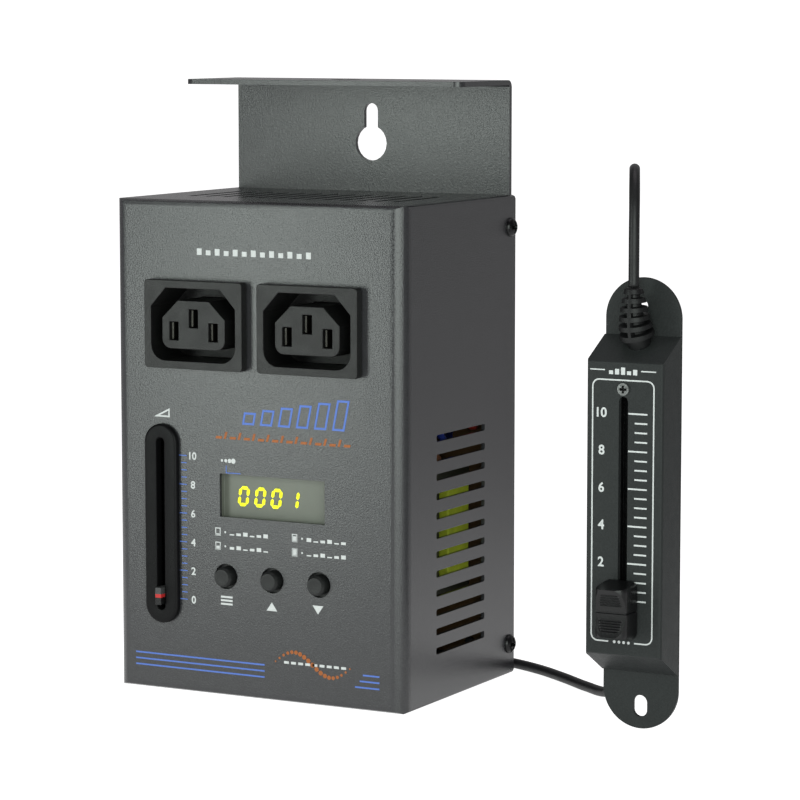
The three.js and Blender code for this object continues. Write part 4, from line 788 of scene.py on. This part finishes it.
def knob_surface():
    """The knob in rows along z, each running up one side, over the face and down again.

    A side follows the plan, a nearly straight wall that curves in above. It stops at the
    face, a hollow arc along z that falls away past its ends. Fine ribs stand in two panels
    of the face, a groove goes round the middle, and the ends narrow by a quarter round.
    """
    middle_x, middle_z, root = remote_x - 0.25, 37.9, -0.85
    half_base, half_face, proud, hollow = 8.55, 7.0, 10.0, 2.1
    near_groove, groove_half, groove_wall, groove_depth = 0.4, 0.3, 0.12, 0.45
    ribs_start, rib_pitch, rib_depth, rib_count = 1.9, 0.72, 0.24, 5
    panel_edge, panel_wall, round_off = 1.1, 0.3, 0.1
    end_start, end_run, end_narrow = 6.1, 2.5, 0.38
    away = np.concatenate([np.linspace(half_base, half_face, 14, endpoint=False),
                           np.linspace(half_face, near_groove, 150, endpoint=False),
                           np.linspace(near_groove, 0, 9)])
    z = np.concatenate([-away, away[-2::-1]])
    away = np.abs(z)[:, None]
    slope = root - (half_base - away) * (proud + root) / (half_base - half_face)
    groove = np.clip((groove_half - away) / groove_wall, 0, 1)
    face = (-proud + hollow * np.clip(1 - (away / half_face) ** 2, -1, 1)
            + groove_depth * groove)
    face = np.minimum(round_off * np.logaddexp(face / round_off, slope / round_off), root)
    wall = np.array([(5.2, root), (5.07, -4.0), (4.97, -6.0)]
                    + [(0.9 + 1.35 * x, y) for x, y in arc((0, -7.1), 3.0, 3, -75, 24)])
    up = np.linspace(0, 1, 26)[None, :] ** 0.7
    side_y = root + (face - root) * up
    side_x = np.interp(-side_y, -wall[:, 1], wall[:, 0])
    over = np.linspace(1, 0, 22)[None, 1:]
    face_x = side_x[:, -1:] * over
    rib_share = (away - ribs_start) / rib_pitch
    panel = np.clip((side_x[:, -1:] - panel_edge - face_x) / panel_wall, 0, 1)
    in_panel = ((rib_share > 0) & (rib_share < rib_count)) * panel
    ribs = rib_depth * (0.5 - 0.5 * np.cos(2 * np.pi * rib_share)) * in_panel
    end_share = np.clip((away - end_start) / end_run, 0, 1)
    narrow = 1 - end_narrow * (1 - np.sqrt(1 - end_share ** 2))
    half_x = np.hstack([side_x, face_x]) * narrow * (1 - 0.06 * groove)
    half_y = np.hstack([side_y, face + ribs])
    x = np.hstack([half_x, -half_x[:, -2::-1]])
    y = np.hstack([half_y, half_y[:, -2::-1]])
    points = np.stack([middle_x + x, remote_y + y, middle_z + z[:, None] + 0 * x], -1)
    rows, columns = points.shape[:2]
    faces = grid_faces(rows, columns, close_columns=False).tolist()
    faces.append([k * columns for k in range(rows)]
                 + [k * columns + columns - 1 for k in range(rows)][::-1])
    return points.reshape(-1, 3), faces


knob = closed_mesh("knob_body", *knob_surface(), knob_plastic, "remote_slider", sharp=24)
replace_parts(knob, "remote_knob")


# Strain relief and jack plug of the remote fader's cord. Both are moulded on it in soft black
# rubber or plastic: the relief is slotted so that it bends, and the plug has a plated pin
# with two insulating rings.
cord_rubber = finish_of("cord_rubber", "#111112", 0.5, bump=0.015)


def relief_surface():
    """Rings carried along a curve that leaves the cover squarely and bends upright.

    The curve is quadratic: (1 - t)^2 foot + 2 t (1 - t) bend + t^2 tip. The radius narrows
    towards the tip, less the depth of the slots between the rings, which two spines divide.
    A shank and a collar are hidden in the cover.
    """
    foot, bend, tip = (np.array(corner) for corner in (
        (0.8, 8.75, 114.51), (0.0, 6.0, 119.7), (0.0, 6.0, 131.0)))
    t = np.linspace(0, 1, 181)[:, None]
    curve = (1 - t) ** 2 * foot + 2 * t * (1 - t) * bend + t ** 2 * tip
    along = (1 - t) * (bend - foot) + t * (tip - bend)
    along /= np.linalg.norm(along, axis=1)[:, None]
    ahead = np.cross(along, [1, 0, 0])
    ahead /= np.linalg.norm(ahead, axis=1)[:, None]
    across = np.cross(ahead, along)
    way = np.concatenate([[0], np.cumsum(np.linalg.norm(np.diff(curve, axis=0), axis=1))])
    way, length = way[:, None], way[-1]
    angle = full_turn(72)
    neck, neck_radius, pitch, rib, rows = 2.6, 3.5, 2.53, 1.3, 5
    foot_radius, tip_radius, tip_round = 5.2, 2.6, 0.4
    foot_depth, tip_depth, slot_wall, spine_half, spine_spread, spine_wall = 2.2, 1.2, 0.1, 7, 4, 3
    cover_end, cover_slant = 109.83 + 0.3, 0.535
    share = np.clip((way - neck) / (length - neck), 0, 1)
    outer = foot_radius + (tip_radius - foot_radius) * share ** 1.5
    row = ((way - neck) % pitch - rib) / (pitch - rib)
    slot = np.clip((0.5 - np.abs(row - 0.5)) / slot_wall, 0, 1) * (way < neck + rows * pitch)
    from_spine = np.abs((angle / np.pi - 1.505) % 1) * 180
    from_spine = np.minimum(from_spine, 180 - from_spine)
    open_side = np.clip((from_spine - spine_half - spine_spread * share) / spine_wall, 0, 1)
    radius = outer - (foot_depth + (tip_depth - foot_depth) * share) * slot * open_side
    edge = np.clip(1 - (length - way) / tip_round, 0, 1)
    radius = radius - tip_round * (1 - np.sqrt(1 - edge ** 2))
    radius = np.where(way < neck, neck_radius, radius)
    points = curve[:, None] + radius[..., None] * (
        across[:, None] * np.cos(angle)[..., None] + ahead[:, None] * np.sin(angle)[..., None])
    cover_top = cover_end + cover_slant * points[..., 1]
    points[..., 2] = np.where(radius > neck_radius + 0.1, np.maximum(points[..., 2], cover_top),
                              points[..., 2])
    shank = np.stack([np.cos(angle), np.sin(angle), 0 * angle], -1)
    below = [shank * 2.75 + [0.8, 8.6, 113.0], shank * 2.75 + [0.8, 8.6, 109.0],
             shank * 4 + [0.8, 8.3, 109.0], shank * 4 + [0.8, 8.3, 106.6],
             shank * 0 + [0.8, 8.3, 106.6]]
    grid = np.concatenate([shank[:1] * 0 + tip, points[::-1]] + below)
    grid[..., 2] = np.minimum(grid[..., 2], tip[2])
    grid += np.array([remote_x, remote_y, 0])
    return grid.reshape(-1, 3), grid_faces(*grid.shape[:2])


relief = closed_mesh("strain_relief_body", *relief_surface(), cord_rubber, sharp=50)
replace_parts(relief, "remote_strain_relief")
plug_plastic = finish_of("plug_plastic", "#131314", 0.4, bump=0.015)
shell_low, shell_high = (corner[0] for corner in box_mm("remote_plug_shell"))
grip_radius, ripple_depth, ripple_pitch = 5.3, 0.16, 1.5
grip = np.linspace(shell_high - 12, shell_low + 5, 61)
ripple = grip_radius - ripple_depth * (
    0.5 - 0.5 * np.cos(2 * np.pi * (grip - grip[0]) / ripple_pitch))
turned("plug_grip", "remote_plug_shell", [
    (0, shell_high), (2.5, shell_high), (2.7, shell_high - 0.3), (3.2, shell_high - 6.5),
    (4.6, shell_high - 8.2), (5.1, shell_high - 9), (grip_radius, shell_high - 10),
    *zip(ripple, grip), (grip_radius, shell_low + 3), (grip_radius, shell_low + 0.6),
    (5.0, shell_low + 0.1), (4.7, shell_low), (0, shell_low)], 0, plug_plastic)
pin_low, pin_high = (corner[0] for corner in box_mm("remote_plug_pin"))
plated, insulator = "#c4c5c5", "#1c1c1d"
pin_metal = finish_of("plug_pin_metal", plated, 0.22, metallic=0.9, tone=0.05, size=900)
banded(pin_metal, "X", pin_low, pin_high, (
    (0.0, plated), (0.27, insulator), (0.31, plated), (0.5, insulator), (0.54, plated)))
turned("plug_pin", "remote_plug_pin", [
    (0, pin_high), (3.175, pin_high), (3.175, pin_low + 9.2), (2.6, pin_low + 8.2),
    (2.2, pin_low + 6.6), (2.35, pin_low + 5.6), (2.7, pin_low + 4.4), (2.65, pin_low + 3.2),
    (2.2, pin_low + 1.4), (1.2, pin_low + 0.2), (0, pin_low)],
    0, pin_metal, slot="nut_metal", sides=48)


# Screen print on the case's front: white, blue and orange ink. Plain motifs stand where the
# real pack has words; only the fader's scale carries figures.
def ink(name, code):
    """Silk-screen ink: a flat colour that the powder coat's grain shows through."""
    return finish_of(name, code, 0.5, bump=0.03, tone=0.05)


white_ink, blue_ink = ink("white_ink", "#b6b8b8"), ink("blue_ink", "#4c68b0")
orange_ink = ink("orange_ink", "#8e5024")
ink_lift = 0.05
case_face, remote_face = -case_half_depth - ink_lift, remote_y - ink_lift


def on_case(name, outlines, material):
    """A layer of ink on the front of the case."""
    layer(name, outlines, material, case_face)


def box_of(x0, x1, z0, z1, lean=0.0):
    """A bar between two x and two z, its top shifted by lean times its height."""
    shift = lean * (z1 - z0)
    return [(x0, z0), (x1, z0), (x1 + shift, z1), (x0 + shift, z1)]


def ticks(low, high, long_start, short_start, end, half):
    """The 21 marks of a scale, every fourth of them long."""
    return [box_of(short_start if k % 4 else long_start, end, z - half, z + half)
            for k, z in enumerate(np.linspace(low, high, 21))]


def disc(x, z, radius, sides=20):
    """A round dot."""
    return [(x + radius * math.cos(2 * math.pi * k / sides),
             z + radius * math.sin(2 * math.pi * k / sides)) for k in range(sides)]


def stroke(points, width, closed=False):
    """Bars along a line of points, mitred where they meet."""
    p = np.array(points, float)
    before = p - np.roll(p, 1, 0)
    after = np.roll(p, -1, 0) - p
    if not closed:
        before[0], after[-1] = after[0], before[-1]
    before /= np.linalg.norm(before, axis=1)[:, None]
    after /= np.linalg.norm(after, axis=1)[:, None]
    n1, n2 = before[:, ::-1] * [-1, 1], after[:, ::-1] * [-1, 1]
    mitre = (n1 + n2) / (1 + (n1 * n2).sum(1))[:, None] * width / 2
    left, right = p + mitre, p - mitre
    count = len(p) if closed else len(p) - 1
    return [[tuple(right[k]), tuple(right[(k + 1) % len(p)]), tuple(left[(k + 1) % len(p)]),
             tuple(left[k])] for k in range(count)]


def figures(text, height, x, z):
    """The faces of plain figures of that height, with their middle at (x, z)."""
    curve = bpy.data.curves.new("figures", "FONT")
    curve.body = text
    curve.offset = 0.025
    carrier = new_object("figures", curve)
    mesh = bpy.data.meshes.new_from_object(carrier)
    bpy.data.objects.remove(carrier)
    places = np.array([vertex.co[:2] for vertex in mesh.vertices])
    low, high = places.min(0), places.max(0)
    places = (places - (low + high) / 2) * height / (high[1] - low[1]) + [x, z]
    return [[tuple(places[k]) for k in face.vertices] for face in mesh.polygons]


def scale_figures(numbers, height, x, low, high):
    """Figures beside a scale that runs from 0 at low to 10 at high."""
    return [outline for number in numbers
            for outline in figures(str(number), height, x, low + number * (high - low) / 10)]


scale_low, scale_high = 29.24, 74.2
on_case("fader_scale", ticks(scale_low, scale_high, -27.55, -26.9, -24.9, 0.15), blue_ink)
on_case("fader_figures", scale_figures(range(0, 12, 2), 2.4, -22.7, scale_low, scale_high),
        white_ink)
rules = [box_of(x0, x1, z - 0.25, z + 0.25) for x0, x1, z in (
    (-44.05, 2.6, 11.1), (-44.05, 2.6, 9.2), (-44.05, 2.6, 7.3),
    (37.0, 42.7, 11.1), (35.9, 42.7, 9.2), (34.3, 42.7, 7.3))]
on_case("lower_rules", rules, blue_ink)
bars_foot, rising = 85.3, []
for k in range(6):
    x, height = -4.6 + 6.3 * k, 3.2 + 1.1 * k
    rising += stroke(box_of(x, x + 3.6, bars_foot, bars_foot + height, lean=0.2), 0.65,
                     closed=True)
on_case("rising_bars", rising, blue_ink)
dash_foot = 80.2
dashes = [box_of(x, x + 2.2, dash_foot, 81.0, lean=0.3) for x in np.linspace(-14.5, 30.5, 10)]
dashes += [box_of(x + 2.9, x + 3.7, dash_foot, 82.4, lean=0.3)
           for x in np.linspace(-14.5, 25.5, 9)]
on_case("orange_dashes", dashes, orange_ink)
wave_start, wave_length, wave_middle, wave_height = 6.5, 26, 12.6, 3.4
wave_x = np.linspace(wave_start, wave_start + wave_length, 19)
wave_z = wave_middle + wave_height * np.sin(2 * np.pi * (wave_x - wave_start) / wave_length)
wave = [disc(x, z, 0.28 + 0.5 * math.sin(math.pi * k / 18))
        for k, (x, z) in enumerate(zip(wave_x, wave_z))]
on_case("dotted_wave", wave, orange_ink)
white = [box_of(-12.9, -8.7, z - 0.3, z + 0.3) for z in (28.9, 30.0, 31.1)]
white.append([(3.4, 28.1), (7.2, 28.1), (5.3, 30.8)])
white.append([(19.6, 31.1), (23.4, 31.1), (21.5, 28.4)])
white += stroke([(-35.6, 86.0), (-31.2, 86.0), (-31.2, 88.2)], 0.5, closed=True)
white += [disc(-12.2 + 1.35 * k, 73.5, 0.4 + 0.13 * k) for k in range(4)]
for k, (x, z) in enumerate(((-14.6, 51.3), (-14.6, 46.9), (12.6, 51.3), (12.6, 46.9))):
    white += stroke(box_of(x, x + 1.6, z - 1.1, z + 1.1), 0.28, closed=True)
    white.append(box_of(x, x + 1.6, z - 1.1, z - 1.1 + 0.55 * (k + 1)))
    white.append(disc(x + 3.4, z, 0.32))
    white += [box_of(x + 5 + 2.4 * j, x + 6.6 + 2.4 * j, z - 0.85, z - 0.45 + 0.4 * ((j + k) % 3))
              for j in range(6)]
white += [box_of(-20.7 + 3.2 * k, -19.0 + 3.2 * k, 136.4, 138.4 - 0.5 * (k % 2))
          for k in range(13)]
white += [box_of(x, x + 1.7, 12.2, 13.0) for x in np.linspace(9.5, 29.5, 9)]
on_case("white_marks", white, white_ink)
leader = stroke([(-10.7, 72.0), (-10.7, 69.75), (-5.6, 69.75)], 0.25)
on_case("lamp_leader", leader, blue_ink)


# Screen print on the remote, all in white ink: a rounded frame with a scale and its figures,
# and plain motifs above and below it where the real remote has words.
frame_corners = [((7.3, 30.0), 270, 360), ((7.3, 102.7), 0, 90), ((-8.0, 102.7), 90, 180),
                 ((-8.0, 30.0), 180, 270)]
frame_line = [(3.7, 28.0)]
for middle, start, end in frame_corners:
    frame_line += arc(middle, 2.0, start, end, 6)
frame_line.append((-4.5, 28.0))
remote_marks = stroke([(remote_x + x, z) for x, z in frame_line], 0.42)
scale_low, scale_high = 40.4, 95.1
remote_marks += ticks(scale_low, scale_high, remote_x + 1.34, remote_x + 3.36,
                      remote_x + 7.3, 0.24)
remote_marks += scale_figures(range(2, 12, 2), 2.9, remote_x - 7.1, scale_low, scale_high)
remote_marks += [disc(remote_x - 2.6 + 1.5 * k, 28.0, 0.45) for k in range(4)]
for x0, x1 in ((-10.9, -6.2), (5.2, 9.9)):
    remote_marks.append(box_of(remote_x + x0, remote_x + x1, 107.35, 107.7))
remote_marks += [box_of(remote_x - 4.9 + 1.9 * k, remote_x - 3.6 + 1.9 * k, 106.3,
                        107.4 + 0.5 * (k % 3)) for k in range(5)]
layer("remote_marks", remote_marks, white_ink, remote_face)
